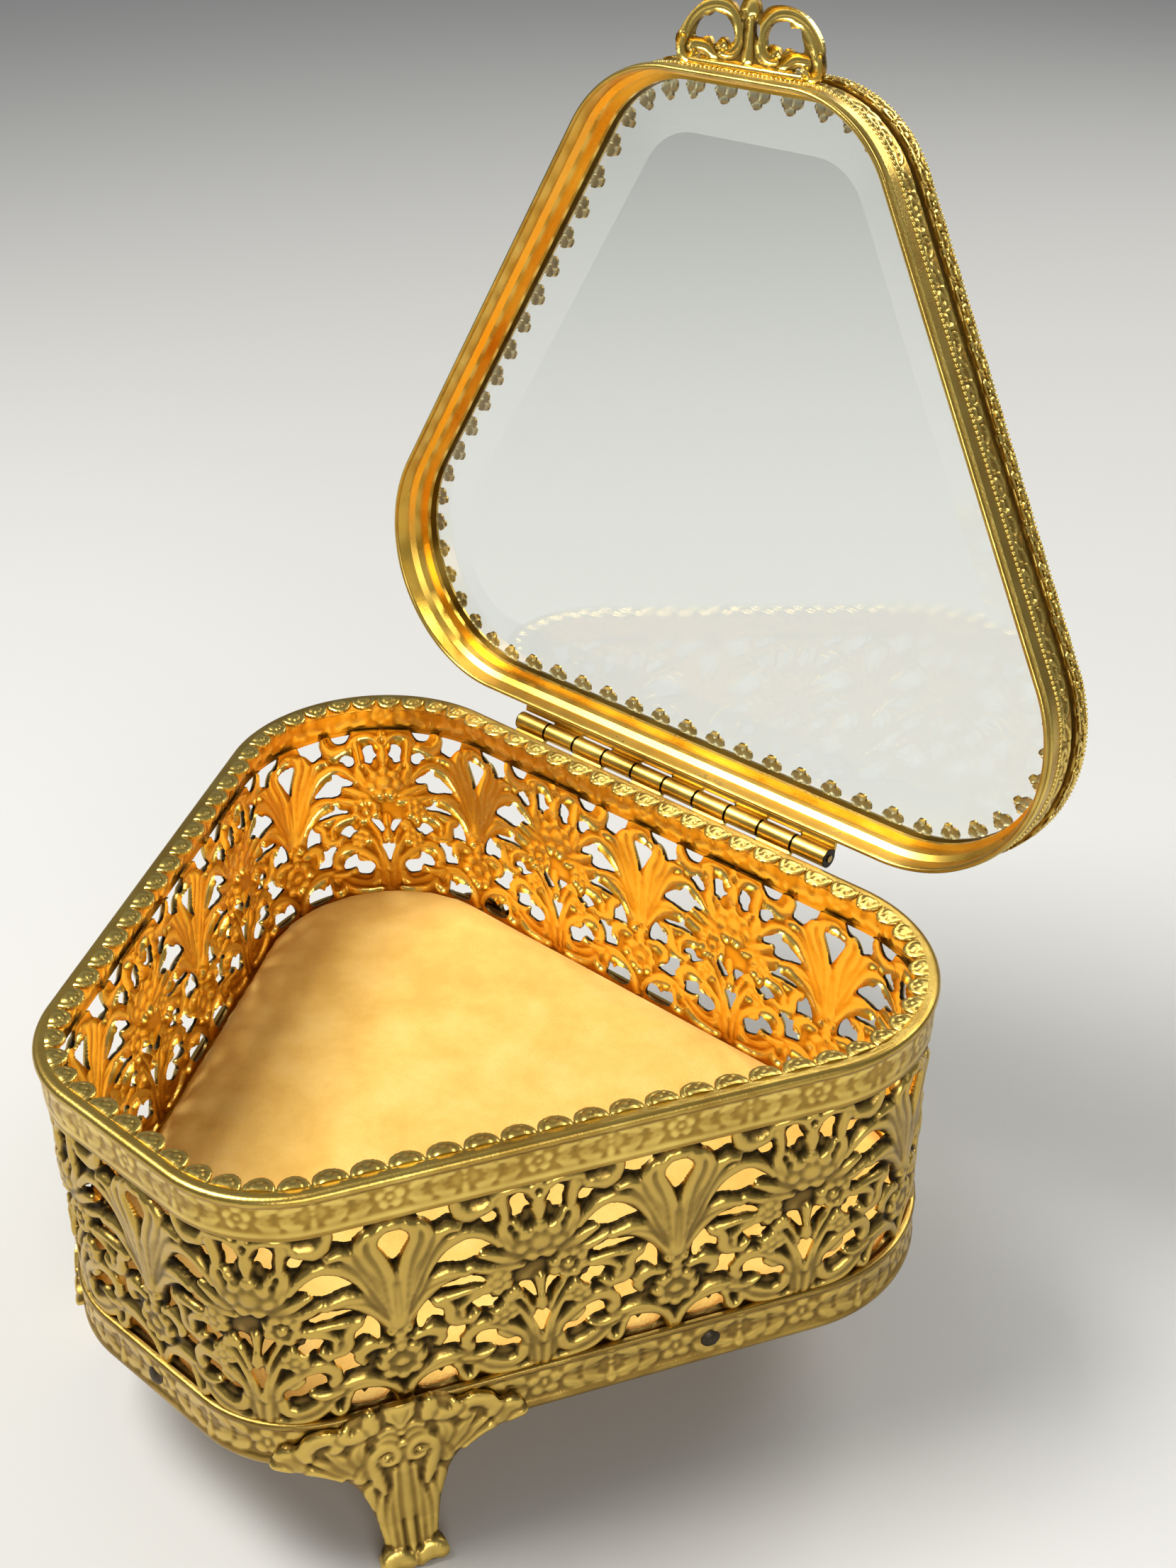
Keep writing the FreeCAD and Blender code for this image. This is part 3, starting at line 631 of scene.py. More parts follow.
def stamped_piece(name, die, place, sheet, body, materials, copies=(0.0,), back=None):
    """Cuts and presses a sheet and places it. place(u, v, height) gives points in metres.
    The face and the edges take the first material and the back of the sheet the second."""
    u, v, tris, rim, mix = cut_sheet(die)
    top = mix(die.height)
    under = top - sheet if back is None else mix(back)
    dark = mix(hollows(die.height, 3, die.wrap))
    high = np.clip(top, 0, 1.4) / 1.4
    at_start = np.abs(u - die.across[0]) < 1e-6
    at_end = np.abs(u - die.across[-1]) < 1e-6
    n = len(u)
    points, faces, kinds = [], [], []
    for number, shift in enumerate(copies):
        edge = rim
        if die.wrap and number > 0:
            edge = edge[~(at_start[edge[:, 0]] & at_start[edge[:, 1]])]
        if die.wrap and number < len(copies) - 1:
            edge = edge[~(at_end[edge[:, 0]] & at_end[edge[:, 1]])]
        start = 2 * n * number
        points.append(place(u + shift, v, top))
        points.append(place(u + shift, v, under))
        faces.append(tris + start)
        faces.append(tris[:, ::-1] + start + n)
        i, j = edge[:, 0] + start, edge[:, 1] + start
        faces.append(np.stack([j, i, i + n], 1))
        faces.append(np.stack([j, i + n, j + n], 1))
        kinds.append(np.zeros(len(tris)))
        kinds.append(np.ones(len(tris)))
        kinds.append(np.zeros(2 * len(edge)))
    count = len(copies)
    marks = {"hollow": np.tile(np.concatenate([dark, dark]), count),
             "crest": np.tile(np.concatenate([high, high]), count)}
    points, faces, marks, whole = welded(np.vstack(points), np.vstack(faces), marks)
    return mesh_object(name, points, faces, body, np.concatenate(kinds)[whole], materials, marks)


scallop_count = 80
scallop_pitch = round_the_rim / scallop_count
scallop_radius = 2.3
scallop_die = Die((-0.5 * scallop_pitch, 0.5 * scallop_pitch), (-0.5, 2.5), 0.25)
scallop_gap = np.hypot(scallop_die.u / 1.04, scallop_die.v)
scallop_die.cover = scallop_radius - scallop_gap
scallop_dome = np.sqrt(np.clip(1 - (scallop_gap / (scallop_radius + 0.1)) ** 2, 0, 1))
scallop_die.height = 0.55 * scallop_dome - 0.1 - 0.14 * np.exp(-((scallop_gap - 1.45) / 0.28) ** 2)
for side in (1, -1):
    scallop_die.groove([(0.0, 0.1), (side * 0.7, 0.9), (side * 0.8, 1.5)], 0.2, 0.12)
scallop_section = Section([(-1.9, rim_top - 0.1), (-2.4, rim_top - 0.06), (-4.9, rim_top - 0.35)], 1)


def on_ledge(u, v, height):
    offset, level = scallop_section.at(v, height)
    x, y = plan_points(u, offset)
    return np.stack([x, y, level], -1) * MM


scallops = stamped_piece("rim_tabs", scallop_die, on_ledge, 0.5, "base", [gilt_brass, lacquered_brass],
                         copies=[scallop_pitch * k for k in range(scallop_count)])

# ==================================================================================================
# Feet.
# Four stamped brass brackets with acanthus wings, twin volutes, a reeded leg and a hoof toe. They follow
# the wall at the top, swing out to the toe, and are soldered over the bottom band.
# ==================================================================================================
foot_die = Die((-18.9, 18.9), (-72.95, -40.6), 0.23)


def both(draw, points, *rest, **more):
    """The same mark on both sides of the foot's middle."""
    for side in (1, -1):
        draw([(side * x, z) for x, z in points], *rest, **more)


foot_edge = [(0.0, -40.9), (2.3, -41.1), (2.9, -41.9), (4.2, -41.0), (5.6, -41.6), (7.4, -42.3), (8.6, -43.4),
             (10.6, -42.8), (13.2, -43.8), (14.6, -45.7), (16.6, -45.8), (18.0, -47.4), (18.5, -49.2),
             (17.4, -50.2), (12.8, -51.0), (10.2, -52.3), (8.4, -53.9), (6.9, -56.0), (5.9, -58.4),
             (5.0, -61.5),
             (4.4, -65.0), (4.0, -68.3), (4.6, -69.6), (5.1, -71.0), (4.8, -72.4), (3.6, -72.9),
             (0.0, -72.95)]
foot_outline = foot_edge + [(-x, z) for x, z in reversed(foot_edge[1:-1])]
foot_die.opening(foot_outline, keep_inside=True)
foot_relief = {"level": 0.1, "crown": 0.36}
both(foot_die.leaf, [(9.0, -53.2), (12.0, -51.2), (15.2, -49.8), (18.0, -49.4)], [0.73, 0.98, 1.22, 0.85],
     level=0.1)
both(foot_die.leaf, [(14.4, -49.6), (15.2, -47.6), (17.0, -47.4)], [1.22, 2.07, 1.22], vein=0.2,
     **foot_relief)
both(foot_die.leaf, [(7.2, -53.4), (9.8, -50.4), (12.2, -48.6)], [0.61, 1.1, 0.61], vein=0.3, **foot_relief)
both(foot_die.leaf, [(6.6, -52.6), (8.6, -49.4), (10.4, -46.9)], [0.61, 1.34, 0.61], vein=0.3, **foot_relief)
both(foot_die.leaf, [(5.4, -52.0), (6.4, -48.8), (5.6, -46.2)], [0.73, 1.46, 0.73], vein=0.3, **foot_relief)
both(foot_die.leaf, [(9.2, -46.4), (8.8, -45.0), (10.2, -43.9), (12.4, -44.4), (13.6, -46.2), (13.2, -47.6)],
     [1.1, 1.34, 1.59, 1.71, 1.59, 0.98], level=0.2, crown=0.42)
both(foot_die.leaf, [(7.9, -43.4), (8.2, -44.6), (6.9, -45.2), (5.2, -44.6), (4.6, -43.4)],
     [0.73, 1.1, 1.34, 1.46, 1.1], level=0.2, crown=0.42)
both(foot_die.leaf, [(3.9, -44.6), (4.3, -43.0), (4.2, -41.7)], [1.1, 1.34, 0.85], level=0.2, crown=0.36)
both(foot_die.leaf, [(0.4, -46.6), (1.6, -45.6), (3.2, -46.2)], [0.49, 0.85, 0.49], **foot_relief)
both(foot_die.leaf, [(0.5, -48.0), (1.8, -47.0), (3.6, -47.6)], [0.49, 0.98, 0.49], **foot_relief)
foot_die.leaf([(0.0, -45.2), (0.0, -43.4), (0.0, -41.9)], [0.73, 2.2, 2.32], level=0.15, crown=0.45)
both(foot_die.groove, [(0.0, -45.0), (0.9, -43.2), (1.3, -41.6)], 0.18, 0.2)
both(foot_die.leaf, [(6.3, -54.2), (5.6, -52.4), (5.0, -51.0)], [1.1, 1.34, 0.61], vein=0.3, **foot_relief)
both(foot_die.leaf, [(4.9, -61.0), (5.3, -57.6), (4.7, -55.2)], [0.73, 1.1, 0.37], **foot_relief)
both(foot_die.leaf, [(3.6, -67.8), (4.0, -62.0), (3.4, -57.8)], [0.61, 0.98, 0.49], **foot_relief)
both(foot_die.leaf, [(2.6, -69.0), (2.7, -63.0), (2.0, -58.0)], [0.61, 0.85, 0.49], **foot_relief)
both(foot_die.leaf, [(1.5, -69.4), (1.6, -61.0), (1.3, -54.0)], [0.43, 0.67, 0.55], level=0.1, crown=0.35)
foot_die.leaf([(0.0, -71.2), (0.0, -62.0), (0.0, -51.6)], [0.61, 1.04, 0.85], level=0.15, crown=0.36)
both(foot_die.leaf, [(3.1, -58.0), (4.2, -53.6), (4.3, -50.4), (2.6, -48.6), (0.9, -49.9), (1.1, -51.8),
                     (2.6, -52.0), (3.2, -50.8)], [0.49, 0.98, 1.1, 1.22, 1.1, 0.92, 0.79, 0.61],
     level=0.3, crown=0.42)
both(foot_die.leaf, [(2.35, -50.6), (2.45, -50.7)], [0.55, 0.55], level=0.5, crown=0.4)
foot_die.button(0.0, -48.7, 0.75, level=0.35, crown=0.36)
foot_die.button(0.0, -46.5, 0.6, level=0.25, crown=0.45)
both(foot_die.leaf, [(0.7, -71.9), (2.4, -70.7), (4.1, -71.2)], [1.22, 1.65, 1.59], level=0.35, crown=0.42)
foot_die.soften(1)
foot_die.height -= 0.3 * np.exp(-np.clip(foot_die.cover, 0, None) / 0.4)
foot_section = Section([(3.4, 0.0), (3.1, 1.4), (2.0, 4.0), (1.15, 8.0), (0.75, 12.5), (0.55, 17.0),
                        (0.5, 22.0), (0.5, 34.0)], 0)
toe_depth = np.interp(foot_die.v, [-72.9, -71.6, -69.8], [2.7, 2.5, 0.8])
foot_back = foot_die.height - toe_depth
foot_places = {"front_right": 41.0, "front_left": -41.0,
               "back_right": 0.5 * round_the_rim - 40.2, "back_left": 0.5 * round_the_rim + 40.2}
for side, distance in foot_places.items():
    def on_leg(u, v, height, distance=distance):
        """v is measured down from the top of the rim; the toe's sole stays flat on the table."""
        rise = np.clip(rim_top + v, 0.0, None)
        offset, level = foot_section.at(rise, height)
        return on_base(distance + u, np.maximum(level, 0.0), offset)

    foot = stamped_piece("foot_" + side + "_stamping", foot_die, on_leg, 0.8, "base",
                         [worn_brass, lacquered_brass], back=foot_back)
    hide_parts("foot_" + side)

# ==================================================================================================
# Floor pan, board and rivets.
# The pan is brushed sheet brass with a turned-up edge, and a cut board lies in it. Four dark domed rivets
# hold the pan to the bottom band. Their shapes are the frame's own and only get a finish.
# ==================================================================================================
def finish_nodes(material, *names):
    """Gives carried-over parts a finish."""
    for name in names:
        part = frame["nodes"][name]
        part.data.materials.clear()
        part.data.materials.append(material)


handling_cloud_mm = 11.1


def brushed_metal(name, dull, bright, rough, line_mm=0.25, stretch=(1.0, 1.0, 14.0)):
    """Rolled or brushed sheet: fine lines one way, cloudy handling marks, a few brighter patches.
    Real rolling lines are under a tenth of a millimetre apart, so they are drawn at line_mm to show."""
    material, tree, shader = new_material(name)
    place = add(tree, "ShaderNodeTexCoord").outputs["Object"]
    turned = add(tree, "ShaderNodeMapping", {"Scale": stretch}, {"Vector": place}).outputs[0]
    lines = add(tree, "ShaderNodeTexNoise", {"Scale": 1 / (line_mm * MM), "Detail": 3.0}, {"Vector": turned})
    clouds = add(tree, "ShaderNodeTexNoise", {"Scale": 1 / (handling_cloud_mm * MM), "Detail": 5.0},
                 {"Vector": place})
    both_marks = add(tree, "ShaderNodeMath", {"operation": "MULTIPLY_ADD", 1: 0.35},
                     {0: lines.outputs[0], 2: clouds.outputs[0]})
    colour = add(tree, "ShaderNodeValToRGB", {"stops": [(0.45, dull), (0.85, bright)]},
                 {0: both_marks.outputs[0]})
    tree.links.new(colour.outputs[0], shader.inputs["Base Color"])
    roughness = add(tree, "ShaderNodeMapRange", {1: 0.3, 2: 0.8, 3: rough, 4: rough + 0.18},
                    {0: clouds.outputs[0]})
    tree.links.new(roughness.outputs[0], shader.inputs["Roughness"])
    shader.inputs["Metallic"].default_value = 1.0
    bump = add(tree, "ShaderNodeBump", {"Strength": 0.12, "Distance": 0.00006}, {"Height": lines.outputs[0]})
    tree.links.new(bump.outputs[0], shader.inputs["Normal"])
    return material


def fibre_board(name, dull, bright, grain_mm):
    """Grey-brown board: short fibres and specks, quite matt."""
    material, tree, shader = new_material(name)
    place = add(tree, "ShaderNodeTexCoord").outputs["Object"]
    fibres = add(tree, "ShaderNodeTexNoise", {"Scale": 1 / (grain_mm * MM), "Detail": 6.0}, {"Vector": place})
    colour = add(tree, "ShaderNodeValToRGB", {"stops": [(0.35, dull), (0.7, bright)]}, {0: fibres.outputs[0]})
    tree.links.new(colour.outputs[0], shader.inputs["Base Color"])
    bump = add(tree, "ShaderNodeBump", {"Strength": 0.3, "Distance": 0.0001}, {"Height": fibres.outputs[0]})
    tree.links.new(bump.outputs[0], shader.inputs["Normal"])
    shader.inputs["Roughness"].default_value = 0.85
    return material


# brushed sheet brass: a soft satin glow, no mirror
finish_nodes(brushed_metal("brushed_sheet_brass", "94702a", "d0a548", 0.34, stretch=(1.0, 14.0, 1.0)),
             "bottom_plate")
# pressed fibre board: quite matt, with short fibres and specks
finish_nodes(fibre_board("cut_fibre_board", "6b5b45", "9b8868", 0.6), "lining_card")
# blackened steel: dark heads with a dull shine, rubbed a little
finish_nodes(brushed_metal("blackened_steel_rivet", "2b2620", "655947", 0.42, line_mm=0.4,
                           stretch=(1.0, 1.0, 1.0)),
             "rivet_front", "rivet_right", "rivet_back", "rivet_left")

# ==================================================================================================
# Lining pad.
# A thin pad of wadding under champagne velvet, cut to the plan and pushed down inside the wall, so that
# it swells a little in the middle and rolls over at its edge. The pile is mottled by handling.
# ==================================================================================================
pad_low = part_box("lining_pad")[0]
pad = bpy.data.objects.new("lining_pad_velvet", frame["nodes"]["lining_pad"].data.copy())
bpy.context.scene.collection.objects.link(pad)
pick(pad)
voxel, same_point = 1.8 * MM, 0.02 * MM
glued_height, cover_height = 1.5 * MM, 3.0 * MM
sideways, rise, sink = 0.1 * MM, 0.7 * MM, 0.2 * MM
swell, ripple, swell_reach = 0.5 * MM, 0.12 * MM, 55.0 * MM
bpy.ops.object.mode_set(mode="EDIT")
bpy.ops.mesh.select_all(action="SELECT")
bpy.ops.mesh.remove_doubles(threshold=same_point)
bpy.ops.object.mode_set(mode="OBJECT")
remesh = pad.modifiers.new("even", "REMESH")
remesh.mode = "VOXEL"
remesh.voxel_size = voxel
bpy.ops.object.modifier_apply(modifier=remesh.name)
count = len(pad.data.vertices)
before = np.empty(count * 3)
pad.data.vertices.foreach_get("co", before)
before = before.reshape(-1, 3)
held = pad.vertex_groups.new(name="glued_underside")
under = [int(k) for k in np.nonzero(before[:, 2] < pad_low.z + glued_height)[0]]
held.add(under, 1.0, "REPLACE")
cloth = pad.modifiers.new("wadding", "CLOTH")
cloth.settings.quality = 6
cloth.settings.mass = 0.1
cloth.settings.tension_stiffness = 15
cloth.settings.compression_stiffness = 15
cloth.settings.bending_stiffness = 0.5
cloth.settings.use_pressure = True
cloth.settings.uniform_pressure_force = 4.0
cloth.settings.effector_weights.gravity = 0.0
cloth.settings.vertex_group_mass = held.name
last_frame = 20
cloth.point_cache.frame_start = 1
cloth.point_cache.frame_end = last_frame
for step in range(1, last_frame + 1):
    bpy.context.scene.frame_set(step)
bpy.ops.object.modifier_apply(modifier=cloth.name)
bpy.context.scene.frame_set(1)
after = np.empty(count * 3)
pad.data.vertices.foreach_get("co", after)
moved = after.reshape(-1, 3) - before
reach = np.hypot(moved[:, 0], moved[:, 1])
moved[:, :2] *= np.minimum(1.0, sideways / np.maximum(reach, 1e-9))[:, None]
moved[:, 2] = np.clip(moved[:, 2], -sink, rise)
inwards = np.clip(1 - np.hypot(before[:, 0], before[:, 1] - plan_middle * MM) / swell_reach, 0, 1)
top = before[:, 2] > pad_low.z + cover_height
settled = before + moved
waves = np.sin(before[:, 0] * 190 + 0.7) * np.sin(before[:, 1] * 150 + 1.9)
settled[:, 2] += np.where(top, swell * inwards + ripple * waves * np.minimum(1, 4 * inwards), 0.0)
pad.data.vertices.foreach_set("co", settled.ravel())
rounded = pad.modifiers.new("soft", "SUBSURF")
rounded.levels = rounded.render_levels = 1
bpy.ops.object.modifier_apply(modifier=rounded.name)
pad.data.materials.clear()
# short-pile velvet, brushed every way by handling: matt gold with paler and darker clouds and a
# soft sheen at a glance; a real pile is 0.1 mm a tuft, too fine to show, so it is drawn at 0.45 mm
mottle_mm, broad_cloud_mm, pile_mm = 8.33, 35.7, 0.45
velvet, tree, shader = new_material("champagne_velvet_short_pile")
place = add(tree, "ShaderNodeTexCoord").outputs["Object"]
mottle = add(tree, "ShaderNodeTexNoise", {"Scale": 1 / (mottle_mm * MM), "Detail": 6.0, "Roughness": 0.65},
             {"Vector": place})
broad = add(tree, "ShaderNodeTexNoise", {"Scale": 1 / (broad_cloud_mm * MM), "Detail": 3.0},
            {"Vector": place})
pile = add(tree, "ShaderNodeTexNoise", {"Scale": 1 / (pile_mm * MM), "Detail": 2.0}, {"Vector": place})
large = add(tree, "ShaderNodeMath", {"operation": "MULTIPLY", 1: 0.4}, {0: broad.outputs[0]})
marks = add(tree, "ShaderNodeMath", {"operation": "MULTIPLY_ADD", 1: 0.6},
            {0: mottle.outputs[0], 2: large.outputs[0]})
colour = add(tree, "ShaderNodeValToRGB", {"stops": [(0.36, "e2b354"), (0.5, "eec264"), (0.64, "f4cd74")]},
             {0: marks.outputs[0]})
tree.links.new(colour.outputs[0], shader.inputs["Base Color"])
bump = add(tree, "ShaderNodeBump", {"Strength": 0.5, "Distance": 0.00025}, {"Height": pile.outputs[0]})
tree.links.new(bump.outputs[0], shader.inputs["Normal"])
shader.inputs["Roughness"].default_value = 0.9
shader.inputs["Sheen Weight"].default_value = 0.35
shader.inputs["Sheen Roughness"].default_value = 0.4
shader.inputs["Sheen Tint"].default_value = linear("ffd79a")
pad.data.materials.append(velvet)
smooth(pad, 60)
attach(pad, "base")
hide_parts("lining_pad")

# ==================================================================================================
# Filigree wall.
# One pierced strip with ten palmettes and ten bouquets between them. It is pressed from behind, so its
# inside shows the same relief hollow. Its ends meet under a palmette at the back.
# ==================================================================================================
# gilt brass, dipped in antiquing and wiped: nearly black between the leaves, gold on their crests
antique_brass = stamped_metal("antiqued_gilt_brass_stamped", "2c2210", "7c6230", "cbaa56", 0.3, patina_and_shade=0.75)
wall_spacing = 0.25
wall_sheet = 0.5
wall_face = -1.45


def draw_filigree():
    """One repeat, from palmette to palmette. Heights are drawn down from the top of the rim."""
    die = Die((0.0, drawn_pitch), (-43.4, -6.7), wall_spacing, wrap=True)
    half = drawn_pitch / 2

    def four(points):
        """The same points beside each palmette, on both sides of it."""
        x = np.array(points, float)
        found = []
        for turn, shift in ((1, 0), (-1, 0), (-1, drawn_pitch), (1, drawn_pitch)):
            found.append(np.stack([turn * x[:, 0] + shift, x[:, 1]], 1))
        return found

    def leaf4(points, widths, **more):
        for line in four(points):
            die.leaf(line, widths, **more)

    def groove4(points, width, depth):
        for line in four(points):
            die.groove(line, width, depth)

    def button4(x, y, radius, **more):
        for line in four([(x, y)]):
            die.button(line[0, 0], line[0, 1], radius, **more)

    # scrolls under the rim, each like a bird with spread wings
    leaf4([(8.3, -7.6), (8.6, -9.2), (10.2, -10.7), (12.4, -10.5), (14.6, -9.3)], [0.8, 1.3, 1.5, 1.2, 0.8])
    leaf4([(14.0, -9.6), (15.0, -8.6), (17.2, -8.2), (18.9, -9.2), (19.4, -10.6)], [1.0, 0.9, 0.8, 0.9, 0.5])
    leaf4([(14.9, -9.6), (15.2, -11.6), (15.4, -14.2)], [1.0, 0.8, 0.7])
    groove4([(9.4, -8.6), (10.8, -9.8), (13.0, -9.5), (15.0, -8.8)], 0.22, 0.25)
    # stems of the bouquet and the scrolls beside its foot
    leaf4([(17.3, -38.9), (16.6, -36.8), (14.8, -35.3), (13.6, -34.2)], [0.7, 0.9, 0.8, 0.4])
    leaf4([(19.3, -42.6), (18.6, -38.4), (16.9, -35.2), (14.0, -32.9), (11.6, -32.0), (9.6, -32.9),
           (9.0, -34.7), (9.8, -35.8)], [1.3, 1.2, 1.0, 0.9, 1.0, 1.2, 1.2, 0.9], vein=0.25)
    leaf4([(19.6, -42.4), (19.2, -37.0), (17.9, -33.0), (16.3, -29.6),
           (15.0, -28.0)], [0.9, 0.8, 0.7, 0.6, 0.5])
    leaf4([(19.9, -38.0), (19.3, -33.6), (18.0, -29.6), (16.4, -26.8)], [0.6, 0.6, 0.55, 0.5], level=0.4)
    leaf4([(19.9, -31.2), (19.7, -29.0), (20.0, -25.5)], [0.5, 0.5, 0.6])
    # leaves of the bouquet
    leaf4([(18.6, -20.8), (15.4, -20.6), (12.8, -19.2), (11.4, -18.6)], [0.7, 1.1, 1.0, 0.6], vein=0.3)
    leaf4([(17.6, -22.4), (14.2, -22.2), (11.6, -21.4), (10.2, -20.6)], [0.6, 0.9, 0.9, 0.5], vein=0.3)
    leaf4([(17.6, -20.2), (15.9, -18.0), (15.1, -15.8), (14.9, -14.2)], [0.8, 1.3, 1.3, 0.6], vein=0.3)
    leaf4([(18.2, -16.6), (17.0, -15.2), (16.6, -14.0)], [0.6, 0.8, 0.4])
    # ground scroll
    leaf4([(0.2, -43.0), (1.0, -40.4), (3.2, -38.0), (6.0, -36.9), (9.2, -37.7), (12.0, -39.6), (14.8, -40.8),
           (16.8, -40.3), (17.4, -38.8)], [0.6, 0.8, 1.0, 1.4, 1.4, 1.3, 1.2, 1.1, 0.9], vein=0.35)
    leaf4([(8.6, -37.4), (11.2, -37.9), (13.2, -37.0)], [0.6, 0.9, 0.5])
    leaf4([(7.6, -38.4), (8.1, -40.6), (9.2, -41.6), (10.2, -40.8), (9.9, -39.6)], [0.7, 0.8, 0.8, 0.7, 0.4],
          level=0.35)
    leaf4([(10.4, -39.6), (12.4, -41.4), (15.0, -42.2), (18.4, -42.3)], [0.6, 0.8, 0.7, 0.5])
    # C-scroll between palmette and bouquet
    leaf4([(12.8, -24.9), (9.4, -24.7), (6.4, -25.2), (5.0, -25.2)], [0.5, 0.8, 0.9, 0.6])
    leaf4([(5.4, -25.6), (6.8, -26.8), (7.1, -28.6), (8.2, -30.1), (9.9, -30.3), (10.9, -29.3)],
          [0.9, 1.1, 1.2, 1.2, 1.0, 0.7], vein=0.25)
    leaf4([(13.0, -25.6), (10.4, -26.0), (8.9, -27.2), (9.0, -29.0)], [0.5, 0.7, 0.7, 0.5], level=0.35)
    # fan of the palmette, outer plumes first
    leaf4([(0.8, -29.4), (1.9, -26.0), (3.7, -23.0), (6.0, -21.2), (8.6, -20.9), (9.8, -21.7)],
          [0.5, 0.8, 1.3, 1.6, 1.3, 0.7], level=0.2)
    leaf4([(0.8, -29.0), (1.9, -24.0), (3.8, -18.8), (6.2, -15.6), (9.2, -14.2), (12.2, -15.0),
           (14.2, -17.6)],
          [0.5, 0.8, 1.2, 1.4, 1.2, 1.0, 0.7], level=0.3, vein=0.2)
    leaf4([(1.8, -23.0), (3.3, -17.6), (5.2, -13.8), (7.0, -12.3), (8.8, -12.4)], [0.5, 0.8, 1.1, 1.2, 0.7],
          level=0.45)
    leaf4([(0.5, -28.4), (1.2, -22.6), (2.3, -17.6), (4.0, -13.8), (4.6, -11.4), (3.6, -9.8)],
          [0.5, 0.7, 0.9, 1.2, 1.1, 0.8], level=0.5)
    leaf4([(0.2, -28.0), (0.6, -20.0), (1.5, -15.4), (2.6, -12.2), (2.3, -10.0), (0.4, -9.0), (-0.4, -9.0)],
          [0.5, 0.7, 0.9, 1.0, 1.0, 1.1, 1.1], level=0.6)
    groove4([(1.4, -26.4), (3.2, -23.0), (5.6, -21.6), (8.0, -21.4)], 0.16, 0.3)
    groove4([(1.2, -27.0), (2.6, -22.4), (4.6, -18.2), (7.0, -15.6)], 0.16, 0.25)
    groove4([(0.9, -26.0), (2.0, -19.6), (3.6, -15.6)], 0.15, 0.25)
    groove4([(0.3, -27.0), (0.8, -19.0), (1.6, -15.4)], 0.15, 0.25)
    # collar and the leaves behind the round flower
    leaf4([(2.0, -30.8), (4.0, -30.2), (5.8, -31.4), (5.4, -33.4)], [0.8, 1.2, 1.2, 0.7], vein=0.25)
    leaf4([(-1.2, -28.6), (0.0, -29.2), (1.2, -28.6)], [0.7, 0.9, 0.7], level=0.7, crown=0.4)
    leaf4([(0.0, -29.4), (0.0, -31.4)], [0.9, 1.2], level=0.5, crown=0.4)
    # round flower under the palmette
    for step in range(8):
        angle = math.radians(90 + 45 * step)
        button4(2.45 * math.cos(angle), -34.6 + 2.45 * math.sin(angle), 1.3, level=0.5, crown=0.45)
    button4(0.0, -34.6, 1.7, level=0.55, crown=0.15)
    button4(0.0, -34.6, 1.05, level=0.7, crown=0.35)
    button4(0.0, -34.6, 0.42, level=0.85, crown=0.25)

    def daisy(x, y, reach, petals, petal, centre, turn=90.0, lift=0.5, ring=True):
        for step in range(petals):
            angle = math.radians(turn + 360.0 * step / petals)
            die.button(x + reach * math.cos(angle), y + reach * math.sin(angle), petal, level=lift,
                       crown=0.45)
        die.button(x, y, centre, level=lift + 0.2, crown=0.35)
        if ring:
            die.button(x, y, 0.45 * centre, level=lift + 0.35, crown=0.2)

    # bouquet: finial, flowers, and the shield that ties its stems
    die.leaf([(half, -14.2), (half, -12.2), (half, -10.4)], [0.7, 1.3, 0.5], level=0.4, vein=0.2)
    daisy(half, -8.3, 0.7, 3, 0.75, 0.4, lift=0.4, ring=False)
    daisy(13.9, -24.6, 1.55, 6, 0.95, 0.8)
    daisy(14.7, -30.7, 1.35, 6, 0.85, 0.7)
    daisy(25.5, -30.2, 1.4, 6, 0.9, 0.75)
    daisy(16.4, -27.6, 0.8, 5, 0.6, 0.45, lift=0.4)
    daisy(24.2, -24.3, 2.1, 8, 1.0, 1.0, turn=70)
    daisy(half, -18.5, 2.45, 7, 1.35, 1.65, ring=False, lift=0.6)
    die.leaf([(half, -32.0), (half, -30.4), (half, -29.2)], [0.3, 1.1, 0.9], level=0.6)

